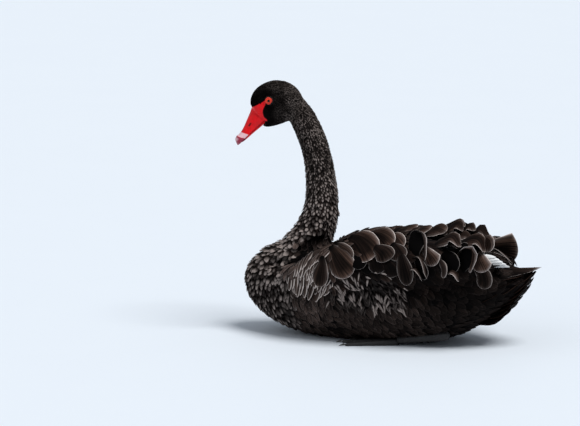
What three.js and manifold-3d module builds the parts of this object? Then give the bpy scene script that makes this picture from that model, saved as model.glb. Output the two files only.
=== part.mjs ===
// A life-size black swan, afloat in life and here resting on its belly with the feet tucked under.
//
// Millimetres. +X runs from the breast to the tail, +Y to the bird's right, +Z up. The floor is z = 0 and the
// origin lies on it, under the middle of the bird's box. Heights given as "above the water" are measured from
// the line to which the bird floats, WATERLINE above the floor.
import * as THREE from "three";
import { mergeVertices } from "three/addons/utils/BufferGeometryUtils.js";
import Module from "manifold-3d";

const wasm = await Module();
wasm.setup();

// Driving dimensions
const TRUNK_LENGTH = 553; // breast to the feathers under the tail
const GAP = 0.5; // clearance between neighbouring pieces
const HEAD_TURN = THREE.MathUtils.degToRad(25); // to the bird's left, from straight ahead
const HEAD_PIVOT = new THREE.Vector3(98.8, 0, 434); // where the skull turns on the neck, level with the brow
const PIVOT_BEHIND_BROW = 50;
const EYE_RADIUS = 8;
const EYE_PROUD = 2.2; // how far the eye stands out of the feathers round it
const EYE_AHEAD = 2; // the eye's middle, from the middle of the brow
const EYE_ABOVE = -1.2;
const PLUME_HALF_DEPTH = 1.6; // half the thickness of one large curled feather
const FLIGHT_ROOT = 415; // where the folded flight feathers start, and where their white ends finish
const FLIGHT_TIP = 518;
const FLIGHT_HEIGHT = 156;
const FLIGHT_HALF_WIDTH = 15;
const FLIGHT_HALF_DEPTH = 4;
const TAIL_ROOT = 452;
const TAIL_TIP = 571;
const TAIL_HEIGHT = 148;
const TAIL_ARCH = 8; // how far the sides of the tail fan hang below its middle
const TOE_LENGTH = 108;
const TOE_RADII = [6.5, 3]; // at the heel and at the tip
const WEB_THICKNESS = 3;
const SHANK_RADII = [7, 10]; // at the heel and at the joint in the flank

// A smooth function through [place, value] pairs, flat beyond its ends.
function through(pairs) {
  const slope = pairs.map((p, i) => {
    const a = pairs[Math.max(0, i - 1)];
    const b = pairs[Math.min(pairs.length - 1, i + 1)];
    return (b[1] - a[1]) / (b[0] - a[0]);
  });
  return (place) => {
    if (place <= pairs[0][0]) return pairs[0][1];
    if (place >= pairs.at(-1)[0]) return pairs.at(-1)[1];
    const i = pairs.findIndex((p) => p[0] > place) - 1;
    const [x0, y0] = pairs[i];
    const [x1, y1] = pairs[i + 1];
    const run = x1 - x0;
    const t = (place - x0) / run;
    const blend = t * t * (3 - 2 * t);
    const early = t * (1 - t) * (1 - t) * run * slope[i];
    const late = t * t * (t - 1) * run * slope[i + 1];
    return y0 + (y1 - y0) * blend + early + late;
  };
}

// Turns a closed three.js geometry into a solid that can be cut and joined.
function solid(geometry) {
  const bare = geometry.index ? geometry.toNonIndexed() : geometry.clone();
  bare.deleteAttribute("normal");
  bare.deleteAttribute("uv");
  const merged = mergeVertices(bare, 1e-3);
  const made = new wasm.Manifold(
    new wasm.Mesh({
      numProp: 3,
      vertProperties: merged.attributes.position.array,
      triVerts: new Uint32Array(merged.index.array),
    }),
  );
  if (made.volume() > 0) return made;
  const turned = new Uint32Array(merged.index.array);
  for (let i = 0; i < turned.length; i += 3) [turned[i], turned[i + 1]] = [turned[i + 1], turned[i]];
  return new wasm.Manifold(
    new wasm.Mesh({ numProp: 3, vertProperties: merged.attributes.position.array, triVerts: turned }),
  );
}

// Moves each vertex of a geometry to where place(x, y, z) puts it.
function shaped(geometry, place) {
  const position = geometry.attributes.position;
  for (let i = 0; i < position.count; i++) {
    const p = place(position.getX(i), position.getY(i), position.getZ(i));
    position.setXYZ(i, p.x, p.y, p.z);
  }
  return geometry;
}

// A closed loft between two end points: section(s, c, n) gives the point at share s of the length, where
// c and n are the cosine and sine of the angle round it and shrink to 0 at the ends.
function loft(sides, rings, section) {
  return shaped(new THREE.SphereGeometry(1, sides, rings), (x, y, z) => {
    const s = Math.acos(THREE.MathUtils.clamp(-y, -1, 1)) / Math.PI;
    const round = Math.hypot(x, z);
    return round < 1e-6 ? section(s, 0, 0) : section(s, x / round, z / round);
  });
}

const power = (value, exponent) => Math.sign(value) * Math.abs(value) ** exponent;

// Trunk: the hull with the breast in front and the feathers under the tail behind
const trunkWidth = through([[0, 0], [4, 18], [18, 36], [50, 58], [90, 76], [140, 91], [200, 99],
  [280, 102], [360, 100], [430, 90], [490, 68], [524, 45], [544, 26], [553, 0]]);
const trunkTop = through([[0, 98], [5, 116], [18, 135], [42, 155], [72, 167], [110, 171], [187, 168],
  [231, 172], [300, 178], [360, 177], [430, 166], [490, 152], [524, 143], [544, 136], [553, 128]]);
const trunkBottom = through([[0, 94], [5, 74], [18, 52], [50, 26], [90, 9], [140, -1], [200, -6],
  [300, -6], [360, -1], [420, 14], [480, 50], [518, 84], [534, 100], [546, 116], [553, 126]]);
const trunkWidest = through([[0, 96], [50, 92], [140, 92], [300, 96], [430, 102], [553, 127]]);

function trunkLoft(grow) {
  return loft(24, 22, (s, c, n) => {
    const x = THREE.MathUtils.lerp(-grow, TRUNK_LENGTH + grow, (1 - Math.cos(s * Math.PI)) / 2);
    const at = THREE.MathUtils.clamp(x, 0, TRUNK_LENGTH);
    const level = trunkWidest(at);
    const reach = n > 0 ? trunkTop(at) - level : level - trunkBottom(at);
    const full = n > 0 ? 0.95 : 0.8;
    const across = (trunkWidth(at) + grow * Math.abs(c)) * power(c, full);
    return new THREE.Vector3(x, across, level + (reach + grow * Math.abs(n)) * power(n, full));
  });
}

// Neck: a tapering tube from the breast to the skull. Each row is [x, z, half depth, half width].
const NECK = [
  [98, 112, 48, 54], [113, 148, 44, 48], [131, 178, 37, 41], [142, 206, 33, 35], [148, 230, 30, 31],
  [150, 254, 29, 29], [148, 283, 26.5, 26.5], [144, 313, 25, 24.8], [137, 343, 24, 23.6],
  [124, 376, 23.4, 23], [110, 402, 23.5, 22.5], [92, 425, 20, 20],
];
const neckLine = new THREE.CatmullRomCurve3(NECK.map(([x, z]) => new THREE.Vector3(x, 0, z)), false, "centripetal");
const neckDepth = through(NECK.map((row, i) => [i / (NECK.length - 1), row[2]]));
const neckWidth = through(NECK.map((row, i) => [i / (NECK.length - 1), row[3]]));

function neckTube(grow) {
  return shaped(new THREE.CylinderGeometry(1, 1, 1, 18, 18), (x, y, z) => {
    const t = THREE.MathUtils.clamp(y + 0.5, 0, 1);
    const along = neckLine.getTangent(t);
    const front = new THREE.Vector3(-along.z, 0, along.x);
    const side = new THREE.Vector3(0, z * (neckWidth(t) + grow), 0);
    return neckLine.getPoint(t).addScaledVector(front, x * (neckDepth(t) + grow)).add(side);
  });
}

// Head: drawn in its own upright plane, "ahead" of the brow's middle and "above" it, then turned on the neck.
const forward = new THREE.Vector3(-Math.cos(HEAD_TURN), -Math.sin(HEAD_TURN), 0);
const leftward = new THREE.Vector3(Math.sin(HEAD_TURN), -Math.cos(HEAD_TURN), 0);

function inHead(ahead, above, left) {
  return HEAD_PIVOT.clone()
    .addScaledVector(forward, ahead + PIVOT_BEHIND_BROW)
    .addScaledVector(leftward, left)
    .add(new THREE.Vector3(0, 0, above));
}

const HEAD_FRONT = 33;
const HEAD_BACK = -64;
const headTop = through([[-64, -8], [-60, 8], [-54, 17], [-41, 26.5], [-28, 31.4], [-15, 33], [-2, 31.2],
  [12, 25.5], [21, 18.5], [28, 10], [32, 0], [33, -6]]);
const headBottom = through([[-64, -8], [-56, -26], [-44, -39], [-31, -44], [-18, -48.5], [-5, -51.5],
  [10, -51.5], [22, -41], [29, -26], [33, -8]]);
const headWidth = through([[-64, 0], [-58, 15], [-48, 22], [-32, 26], [-18, 27], [-5, 25.5], [8, 22.5],
  [20, 18.5], [29, 13], [33, 0]]);

function headLoft() {
  return loft(20, 16, (s, c, n) => {
    const ahead = THREE.MathUtils.lerp(HEAD_BACK, HEAD_FRONT, (1 - Math.cos(s * Math.PI)) / 2);
    const middle = (headTop(ahead) + headBottom(ahead)) / 2;
    const half = (headTop(ahead) - headBottom(ahead)) / 2;
    return inHead(ahead, middle + half * n, headWidth(ahead) * power(c, 0.9));
  });
}

// Bill: drawn along its own axis, which points down from the face. "out" runs from the face to the tip,
// "rise" towards the ridge.
const BILL_ROOT = new THREE.Vector2(17, -25);
const BILL_DOWN = THREE.MathUtils.degToRad(54);
const BILL_TIP = 72.5;
const BILL_BACK = -16;
const LOWER_TIP = 68;
const billRidge = through([[-16, 12], [-2, 16.4], [10, 13.4], [25, 10], [40, 6.7], [50, 5.7], [57, 6.6],
  [61, 7.2], [67, 5.2], [70.5, 2], [72.5, -2.4]]);
const billEdge = through([[-16, -13], [0, -15.5], [9, -14], [20, -12], [35, -8.9], [46, -7], [56, -4.9],
  [64, -3.8], [72.5, -3.8]]);
const billKeel = through([[-16, -15], [4, -21], [14, -19.8], [21, -18.2], [41, -13.1], [59, -8.7],
  [66, -6.2], [69, -4.8]]);
const billWidth = through([[-16, 15.5], [0, 15.8], [15, 15], [34, 12.6], [50, 12.8], [60, 12.2], [67, 9.6],
  [72.5, 0]]);

function inBill(out, rise, left) {
  const ahead = BILL_ROOT.x + out * Math.cos(BILL_DOWN) + rise * Math.sin(BILL_DOWN);
  const above = BILL_ROOT.y - out * Math.sin(BILL_DOWN) + rise * Math.cos(BILL_DOWN);
  return inHead(ahead, above, left);
}

// How far out a ring of the bill lies, its ends pushed out by grow
function alongBill(s, end, grow) {
  const push = s < 1e-4 ? -grow : s > 0.9999 ? grow : 0;
  return THREE.MathUtils.lerp(BILL_BACK, end, s) + push;
}

function upperBill(grow) {
  return loft(16, 14, (s, c, n) => {
    const out = alongBill(s, BILL_TIP, grow);
    const at = THREE.MathUtils.clamp(out, BILL_BACK, BILL_TIP);
    const edge = billEdge(at);
    const closing = THREE.MathUtils.clamp((at - BILL_BACK) / 3, 0, 1);
    const rise = n > 0 ? edge + (billRidge(at) - edge + grow) * n : edge + (0.6 + grow) * n;
    return inBill(out, rise * closing, (billWidth(at) + grow) * power(c, 0.85) * closing);
  });
}

function lowerBill(grow) {
  return loft(12, 12, (s, c, n) => {
    const out = alongBill(s, LOWER_TIP, grow);
    const at = THREE.MathUtils.clamp(out, BILL_BACK, LOWER_TIP);
    const edge = billEdge(at) - 0.6 - GAP;
    const keel = Math.min(billKeel(at), edge - 0.8);
    const closing = THREE.MathUtils.clamp(Math.min(at - BILL_BACK, LOWER_TIP - at) / 5, 0, 1);
    const rise = n > 0 ? edge + grow : edge + (keel - edge) * -n * closing + grow * n;
    return inBill(out, rise, (billWidth(at) - 1.6 + grow) * power(c, 0.85) * Math.sqrt(closing));
  });
}

function eyeBall(side, grow) {
  const surface = headWidth(EYE_AHEAD);
  const eye = new THREE.SphereGeometry(EYE_RADIUS + grow, 12, 8);
  const at = inHead(EYE_AHEAD, EYE_ABOVE, side * (surface + EYE_PROUD - EYE_RADIUS));
  return eye.translate(at.x, at.y, at.z);
}

// Folded wing: the closed mass of one wing's feathers, lapped over the trunk. "outward" is positive away
// from the bird's middle.
const WING_FRONT = 96;
const WING_REAR = 506;
const wingTop = through([[96, 127], [110, 136], [135, 153], [160, 168], [187, 181], [205, 186], [231, 190],
  [265, 194], [300, 199], [349, 199], [400, 193], [440, 183], [470, 170], [492, 160], [506, 154]]);
const wingLow = through([[96, 124], [115, 108], [150, 99], [200, 98], [300, 101], [360, 105], [420, 113],
  [460, 125], [490, 142], [506, 154]]);
const wingOut = through([[96, 86], [115, 98], [150, 109], [190, 115], [240, 120], [300, 122], [360, 119],
  [420, 108], [460, 92], [490, 68], [506, 44]]);
const wingIn = through([[96, 82], [115, 66], [150, 44], [190, 20], [240, 4], [300, -4], [420, -4], [470, 2],
  [506, 30]]);

function wingLoft(side) {
  return loft(18, 16, (s, c, n) => {
    const x = THREE.MathUtils.lerp(WING_FRONT, WING_REAR, (1 - Math.cos(s * Math.PI)) / 2);
    const outward = (wingOut(x) + wingIn(x)) / 2 + ((wingOut(x) - wingIn(x)) / 2) * power(c, 0.85);
    const height = (wingTop(x) + wingLow(x)) / 2 + ((wingTop(x) - wingLow(x)) / 2) * power(n, 0.85);
    return new THREE.Vector3(x, -side * outward, height);
  });
}

// One large curled feather. Its rib starts at a base, heads outward by "turn" and up by "pitch" (degrees),
// and bends down by "curl" over its length.
function plume(side, [x, outward, z, turn, pitch, curl, length, width, roll]) {
  const heading = THREE.MathUtils.degToRad(turn);
  const flat = new THREE.Vector3(Math.cos(heading), -side * Math.sin(heading), 0);
  const up = new THREE.Vector3(0, 0, 1);
  const start = THREE.MathUtils.degToRad(pitch);
  const bend = THREE.MathUtils.degToRad(curl || 1);
  const twist = THREE.MathUtils.degToRad(roll);
  const base = new THREE.Vector3(x, -side * outward, z);
  return loft(6, 8, (s, c, n) => {
    const angle = start - bend * s;
    const along = (length / bend) * (Math.sin(start) - Math.sin(angle));
    const risen = (length / bend) * (Math.cos(angle) - Math.cos(start));
    const tangent = flat.clone().multiplyScalar(Math.cos(angle)).addScaledVector(up, Math.sin(angle));
    const across = new THREE.Vector3().crossVectors(up, flat).applyAxisAngle(tangent, side * twist * s);
    const normal = new THREE.Vector3().crossVectors(tangent, across);
    const half = (width / 2) * Math.sin(Math.PI * Math.min(1, 0.12 + s * 0.55) ** 1.1) ** 0.8;
    const tip = Math.sqrt(Math.max(0, 1 - Math.max(0, (s - 0.62) / 0.38) ** 2));
    return base
      .clone()
      .addScaledVector(flat, along)
      .addScaledVector(up, risen)
      .addScaledVector(across, half * tip * c)
      .addScaledVector(normal, PLUME_HALF_DEPTH * n - (half * tip * c) ** 2 / width / 1.5);
  });
}

// The curled feathers of each wing: [x, outward, z, turn, pitch, curl, length, width, roll]
const LEFT_PLUMES = [
  [340, 70, 196, 60, 42, 120, 84, 44, 0], [372, 60, 193, 10, 50, 90, 56, 40, 0],
  [398, 76, 180, 30, 46, 100, 60, 42, 0], [420, 48, 184, 4, 46, 90, 58, 38, 0],
  [430, 72, 164, 22, 26, 90, 62, 46, 0],
];
const RIGHT_PLUMES = [
  [340, 70, 194, 40, 44, 100, 78, 44, 0], [384, 58, 192, 5, 46, 62, 64, 40, 0],
  [404, 68, 184, 12, 46, 90, 58, 42, 0], [424, 50, 182, 6, 44, 90, 52, 38, 0],
  [436, 42, 158, -2, 34, 26, 84, 64, -60], [430, 68, 160, 18, 26, 90, 62, 46, 0],
];

// The folded flight feathers, whose white ends show between the curled feathers and the tail
function flightFeathers(side, grow) {
  return loft(10, 10, (s, c, n) => {
    const x = THREE.MathUtils.lerp(FLIGHT_ROOT - grow, FLIGHT_TIP + grow, s);
    const taper = Math.sqrt(Math.max(0, 1 - (2 * s - 1) ** 6));
    const outward = 34 + 12 * (1 - s) + (FLIGHT_HALF_WIDTH * taper + grow) * c;
    const slope = 5 * (1 - s) - 0.28 * (outward - 40);
    return new THREE.Vector3(x, -side * outward, FLIGHT_HEIGHT + slope + (FLIGHT_HALF_DEPTH * taper + grow) * n);
  });
}

// Tail: a short rounded fan that lies on the feathers under it
const tailWidth = through([[452, 20], [490, 34], [526, 42], [548, 38], [564, 22], [571, 0]]);
const tailThickness = through([[452, 8], [520, 6], [556, 2.5], [571, 0.8]]);

function tailLoft(grow) {
  return loft(16, 12, (s, c, n) => {
    const x = THREE.MathUtils.lerp(TAIL_ROOT, TAIL_TIP, (1 - Math.cos(s * Math.PI)) / 2);
    const across = (tailWidth(x) + grow) * power(c, 0.9);
    const crown = TAIL_HEIGHT - (x - TAIL_ROOT) * 0.02 - (across / 42) ** 2 * TAIL_ARCH;
    return new THREE.Vector3(x, across, crown + (tailThickness(x) + grow) * n);
  });
}

// A tapering round-ended bar from one point to another
function bar(from, to, [fromRadius, toRadius], grow) {
  const start = new THREE.Vector3(...from);
  const axis = new THREE.Vector3(...to).sub(start);
  const along = axis.clone().normalize();
  const level = new THREE.Vector3(0, 0, 1).cross(along).normalize();
  const upright = new THREE.Vector3().crossVectors(along, level);
  return loft(7, 7, (s, c, n) => {
    const share = (1 - Math.cos(s * Math.PI)) / 2;
    const round = Math.min(1, Math.sin(s * Math.PI) * 2.2);
    const radius = (THREE.MathUtils.lerp(fromRadius, toRadius, share) + grow) * round;
    return start.clone().addScaledVector(axis, share)
      .addScaledVector(level, radius * c).addScaledVector(upright, radius * n);
  });
}

// Foot: three webbed toes lying flat beside the keel, pointing forward and a little outward
const HEEL = [322, 66, 6];
const SHANK = [[316, 66, 9], [418, 58, 24]]; // from the heel back to the joint hidden in the flank
const TOES = [[-9, 0.84], [7, 1], [24, 0.93]]; // angle outward from straight ahead, share of the length

function toeEnd([angle, share], reach = 1) {
  const a = THREE.MathUtils.degToRad(angle);
  const length = TOE_LENGTH * share * reach;
  return [HEEL[0] - length * Math.cos(a), HEEL[1] + length * Math.sin(a)];
}

function footSolid(side, grow) {
  const web = new THREE.Shape();
  web.moveTo(HEEL[0], HEEL[1] - 4);
  web.lineTo(...toeEnd(TOES[0], 0.93));
  for (let i = 1; i < TOES.length; i++) {
    const slack = toeEnd([(TOES[i - 1][0] + TOES[i][0]) / 2, 0.8]);
    web.quadraticCurveTo(...slack, ...toeEnd(TOES[i], 0.93));
  }
  web.lineTo(HEEL[0], HEEL[1] + 4);
  web.closePath();
  const sheet = new THREE.ExtrudeGeometry(web, { depth: WEB_THICKNESS + grow, bevelEnabled: false, curveSegments: 5 });
  let made = solid(mirrored(sheet, side));
  for (const toe of TOES) {
    const [x, y] = toeEnd(toe);
    const knuckle = bar(HEEL, [x, y, 2.2], TOE_RADII, grow);
    made = made.add(solid(mirrored(knuckle, side)));
  }
  return made.subtract(below(0));
}

function mirrored(geometry, side) {
  return shaped(geometry, (x, y, z) => new THREE.Vector3(x, -side * y, z));
}

// Leg: the scaly shank, laid back under the belly from the heel to its joint in the flank feathers
function shank(side, grow) {
  return solid(mirrored(bar(...SHANK, SHANK_RADII, grow), side)).subtract(below(0));
}

// Boxes used to cut with: all that is below a height, one side of the bird, or the far side of a neck cut
function below(height) {
  return solid(new THREE.BoxGeometry(900, 500, 100).translate(300, 0, height - 50));
}

function beside(side) {
  return solid(new THREE.BoxGeometry(900, 300, 600).translate(300, -side * (150 + GAP / 2), 300));
}

function beyond(share, offset) {
  const reach = 300;
  const at = neckLine.getPoint(share);
  const along = share > NECK_BASE ? neckLine.getTangent(share) : new THREE.Vector3(0, 0, 1);
  const turn = new THREE.Quaternion().setFromUnitVectors(new THREE.Vector3(0, 0, 1), along);
  const box = new THREE.BoxGeometry(NECK_CUT, NECK_CUT, reach).translate(0, 0, reach / 2 + offset);
  return solid(box.applyQuaternion(turn).translate(at.x, at.y, at.z));
}

const NECK_CUT = 150; // size of the boxes that part the neck
const NECK_BASE = 0.185; // share of the neck's line at which it leaves the breast
const NECK_JOINTS = [["neck_lower", NECK_BASE], ["neck_middle", 0.45], ["neck_upper", 0.68], ["head", 0.9]];

const plumage = new THREE.MeshStandardMaterial({ color: 0x2a2524, roughness: 0.75, metalness: 0 });
const horn = new THREE.MeshStandardMaterial({ color: 0xc8141c, roughness: 0.4, metalness: 0 });
const white = new THREE.MeshStandardMaterial({ color: 0xf2f6f6, roughness: 0.7, metalness: 0 });
const hide = new THREE.MeshStandardMaterial({ color: 0x1b1a1a, roughness: 0.6, metalness: 0 });
const iris = new THREE.MeshStandardMaterial({ color: 0xc23a1c, roughness: 0.1, metalness: 0 });
const group = new THREE.Group();

function add(name, manifold, material) {
  const mesh = manifold.getMesh();
  const geometry = new THREE.BufferGeometry();
  geometry.setAttribute("position", new THREE.BufferAttribute(Float32Array.from(mesh.vertProperties), 3));
  geometry.setIndex(new THREE.BufferAttribute(Uint32Array.from(mesh.triVerts), 1));
  const made = new THREE.Mesh(geometry, material.clone());
  made.name = name;
  group.add(made);
}

const SIDES = [["left", 1], ["right", -1]];
const hull = solid(trunkLoft(GAP)).add(solid(neckTube(GAP)));
const feet = SIDES.map(([, side]) => footSolid(side, GAP));
const shanks = SIDES.map(([, side]) => shank(side, GAP));
const upper = solid(upperBill(0));
const lower = solid(lowerBill(0));

let flesh = solid(trunkLoft(0)).add(solid(neckTube(0))).add(solid(headLoft())).subtract(below(0));
for (const cutter of [...feet, ...shanks, solid(upperBill(2 * GAP)), solid(lowerBill(2 * GAP))]) {
  flesh = flesh.subtract(cutter);
}
for (const [, side] of SIDES) flesh = flesh.subtract(solid(eyeBall(side, GAP)));

for (const [name, share] of [...NECK_JOINTS].reverse()) {
  add(name, flesh.intersect(beyond(share, GAP / 2)), plumage);
  flesh = flesh.subtract(beyond(share, -GAP / 2));
}
add("trunk", flesh, plumage);
add("bill_upper", upper, horn);
add("bill_lower", lower, horn);
add("tail", solid(tailLoft(0)).subtract(hull), plumage);
const lapped = hull.add(solid(tailLoft(GAP)));

SIDES.forEach(([name, side], i) => {
  const flight = solid(flightFeathers(side, 0)).subtract(lapped);
  let wing = solid(wingLoft(side));
  for (const row of side > 0 ? LEFT_PLUMES : RIGHT_PLUMES) wing = wing.add(solid(plume(side, row)));
  wing = wing.intersect(beside(side)).subtract(lapped).subtract(solid(flightFeathers(side, GAP)));
  add(`eye_${name}`, solid(eyeBall(side, 0)), iris);
  add(`wing_${name}`, wing, plumage);
  add(`flight_feathers_${name}`, flight, white);
  add(`foot_${name}`, footSolid(side, 0), hide);
  add(`leg_${name}`, shank(side, 0).subtract(feet[i]), hide);
});

// The origin lies on the floor under the middle of the whole bird.
const box = new THREE.Box3().setFromObject(group);
const middle = box.getCenter(new THREE.Vector3());
group.position.set(-middle.x, -middle.y, 0);

export default group;
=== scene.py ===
import math
from functools import cache

import bpy
import numpy as np
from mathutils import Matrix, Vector
from mathutils.bvhtree import BVHTree
from mathutils.kdtree import KDTree


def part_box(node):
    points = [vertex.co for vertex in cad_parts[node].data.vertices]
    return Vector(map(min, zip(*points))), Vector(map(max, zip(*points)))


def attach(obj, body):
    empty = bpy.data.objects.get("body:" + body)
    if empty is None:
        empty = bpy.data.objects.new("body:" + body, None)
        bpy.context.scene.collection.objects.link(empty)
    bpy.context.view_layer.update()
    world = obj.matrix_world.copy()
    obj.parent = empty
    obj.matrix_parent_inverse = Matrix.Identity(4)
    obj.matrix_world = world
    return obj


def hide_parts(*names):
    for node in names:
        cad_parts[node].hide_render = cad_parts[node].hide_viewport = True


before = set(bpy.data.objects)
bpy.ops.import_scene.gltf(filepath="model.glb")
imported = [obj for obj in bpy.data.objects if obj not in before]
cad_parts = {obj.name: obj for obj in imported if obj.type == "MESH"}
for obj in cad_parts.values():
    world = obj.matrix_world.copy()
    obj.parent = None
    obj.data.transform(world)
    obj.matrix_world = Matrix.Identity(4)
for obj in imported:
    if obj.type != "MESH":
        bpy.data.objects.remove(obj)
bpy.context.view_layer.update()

bl_info = {
    "name": "Black swan",
    "version": (1, 0, 0),
    "blender": (4, 5, 0),
    "location": "View3D > Sidebar > Swan",
    "description": "Skins and feathers a life-size black swan round its solid frame",
    "category": "Object",
}

# Shapes are worked out in millimetres in the bird's own space: x from the breast to the tail, y to the bird's
# right, z up from the floor. "Outward" is the distance from the bird's middle plane.
MM = 0.001
TRUNK_LOW, TRUNK_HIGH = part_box("trunk")
BREAST = TRUNK_LOW.x / MM
MIDDLE = (TRUNK_LOW.y + TRUNK_HIGH.y) / 2 / MM
SIDES = (("left", 1), ("right", -1))

WATERLINE = 88
BIRD_LENGTH = 575
BODY_AXIS = 95  # height of the line that the body's map goes round
FLESH = ("trunk", "neck_lower", "neck_middle", "neck_upper", "head")


def in_metres(points):
    """Bird space to the frame's own metres."""
    return (np.asarray(points, float) + (BREAST, MIDDLE, 0)) * MM


def in_bird(points):
    """The frame's metres to bird space."""
    return np.asarray(points, float) / MM - (BREAST, MIDDLE, 0)


def through(*pairs):
    """A smooth function through (place, value) pairs, flat beyond its ends."""
    places, values = (np.array(column, float) for column in zip(*pairs))
    order = np.arange(len(places))
    before, after = np.maximum(order - 1, 0), np.minimum(order + 1, len(places) - 1)
    slopes = (values[after] - values[before]) / (places[after] - places[before])

    def at(place):
        place = np.clip(place, places[0], places[-1])
        i = np.clip(np.searchsorted(places, place, "right") - 1, 0, len(places) - 2)
        run = places[i + 1] - places[i]
        t = (place - places[i]) / run
        blend = t * t * (3 - 2 * t)
        early = t * (1 - t) ** 2 * run * slopes[i]
        late = t * t * (t - 1) * run * slopes[i + 1]
        return values[i] + (values[i + 1] - values[i]) * blend + early + late

    return at


def smooth(value, low, high):
    """0 below low, 1 above high and a soft step between."""
    t = np.clip((value - low) / (high - low), 0, 1)
    return t * t * (3 - 2 * t)


def power(value, exponent):
    return np.sign(value) * np.abs(value) ** exponent


def unit(vectors):
    return vectors / np.maximum(np.linalg.norm(vectors, axis=-1, keepdims=True), 1e-9)


def dot(a, b):
    return (a * b).sum(-1)


# Neck: its middle line as [x, z, half depth, half width], from the breast to the skull
NECK = np.array(
    [
        (98, 112, 48, 54),
        (113, 148, 44, 48),
        (131, 178, 37, 41),
        (142, 206, 33, 35),
        (148, 230, 30, 31),
        (150, 254, 29, 29),
        (148, 283, 26.5, 26.5),
        (144, 313, 25, 24.8),
        (137, 343, 24, 23.6),
        (124, 376, 23.4, 23),
        (110, 402, 23.5, 22.5),
        (92, 425, 20, 20),
    ]
)
NECK_BASE = 190  # height at which the neck leaves the breast
NECK_TOP = 365  # height at which it turns over into the head
NECK_SHARES = np.linspace(0, 1, 150)
NECK_X, NECK_Z, NECK_DEPTH, NECK_WIDTH = (through(*zip(np.linspace(0, 1, len(NECK)), row)) for row in NECK.T)
NECK_LINE = np.stack([NECK_X(NECK_SHARES), 0 * NECK_SHARES, NECK_Z(NECK_SHARES)], 1)
NECK_WAY = unit(np.gradient(NECK_LINE, axis=0))

# Head: drawn ahead of the eyes and above them, then turned on the neck
HEAD_TURN = math.radians(25)
HEAD_PIVOT = np.array((98.8, 0, 434))
PIVOT_BEHIND_BROW = 50
FORWARD = np.array((-math.cos(HEAD_TURN), -math.sin(HEAD_TURN), 0))
LEFTWARD = np.array((math.sin(HEAD_TURN), -math.cos(HEAD_TURN), 0))
HEAD_BACK, HEAD_FRONT = -64, 33
HEAD_LOW = 370  # height in the bird below which nothing of the face lies
EYE_RADIUS = 8
LID_OPENING, LID_RADIUS, LID_ROLL = 5.4, 5.5, 0.75  # the lid's rim: where it meets the eye, its size and roll
LID_FOLD, LID_HOLLOW = 7.4, 10.5  # rings of the bare face round the eye: a raised fold and a hollow
EYE_AHEAD, EYE_ABOVE = 2, -1.2  # from the middle of the brow

# Bill: drawn along its own axis, out from the face and rising to its ridge
BILL_ROOT = (17, -25)
BILL_DOWN = math.radians(54)
NOSTRIL = (29, 1.9)  # its middle, out along the bill and risen from its axis


def in_head(points):
    """Bird space to (ahead of the brow's middle, above it, to the head's left)."""
    away = points - HEAD_PIVOT
    return np.stack([away @ FORWARD - PIVOT_BEHIND_BROW, away[..., 2], away @ LEFTWARD], -1)


def from_head(ahead, above, left):
    """(ahead, above, left) to bird space."""
    ahead, above, left = np.broadcast_arrays(*(np.asarray(v, float) for v in (ahead, above, left)))
    flat = HEAD_PIVOT + FORWARD * (ahead[..., None] + PIVOT_BEHIND_BROW) + LEFTWARD * left[..., None]
    return flat + above[..., None] * np.array((0, 0, 1))


def in_bill(points):
    """Bird space to (out along the bill, rise towards its ridge, to the head's left)."""
    ahead, above, left = np.moveaxis(in_head(points), -1, 0)
    ahead, above = ahead - BILL_ROOT[0], above - BILL_ROOT[1]
    out = ahead * math.cos(BILL_DOWN) - above * math.sin(BILL_DOWN)
    rise = ahead * math.sin(BILL_DOWN) + above * math.cos(BILL_DOWN)
    return np.stack([out, rise, left], -1)


# Folded wing: the closed mass of one wing's feathers
WING_FRONT, WING_REAR = 96, 506
wing_top = through(
    (96, 127), (110, 136), (135, 153), (160, 168), (187, 182), (205, 188), (231, 191), (265, 195), (300, 199),
    (349, 199), (400, 193), (440, 183), (470, 170), (492, 160), (506, 154),
)  # fmt: skip
wing_low = through(
    (96, 124), (115, 108), (150, 99), (200, 98), (300, 101), (360, 105), (420, 113), (460, 125), (490, 142),
    (506, 154),
)  # fmt: skip
wing_out = through(
    (96, 86), (115, 98), (150, 109), (190, 115), (240, 120), (300, 122), (360, 119),
    (420, 108), (460, 92), (490, 68), (506, 44),
)  # fmt: skip
wing_in = through(
    (96, 82), (115, 66), (150, 44), (190, 20), (240, 4), (300, -4), (420, -4), (470, 2), (506, 30)
)

lore_rear = through((-40, 4), (-37, 5), (-32, 10), (-21, 12.5), (-6, 7), (1.5, 4.5))


def lore(points):
    """How far a place lies in the bare red skin between the eye and the bill, from 0 to 1."""
    ahead, above, _ = np.moveaxis(in_head(points), -1, 0)
    under_brow = -0.6 - (ahead - 8) * 0.62 - above
    inside = np.minimum(under_brow, ahead - lore_rear(above))
    return smooth(np.minimum(inside, above + 40), -0.6, 0.8) * (points[..., 2] > 380)


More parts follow.
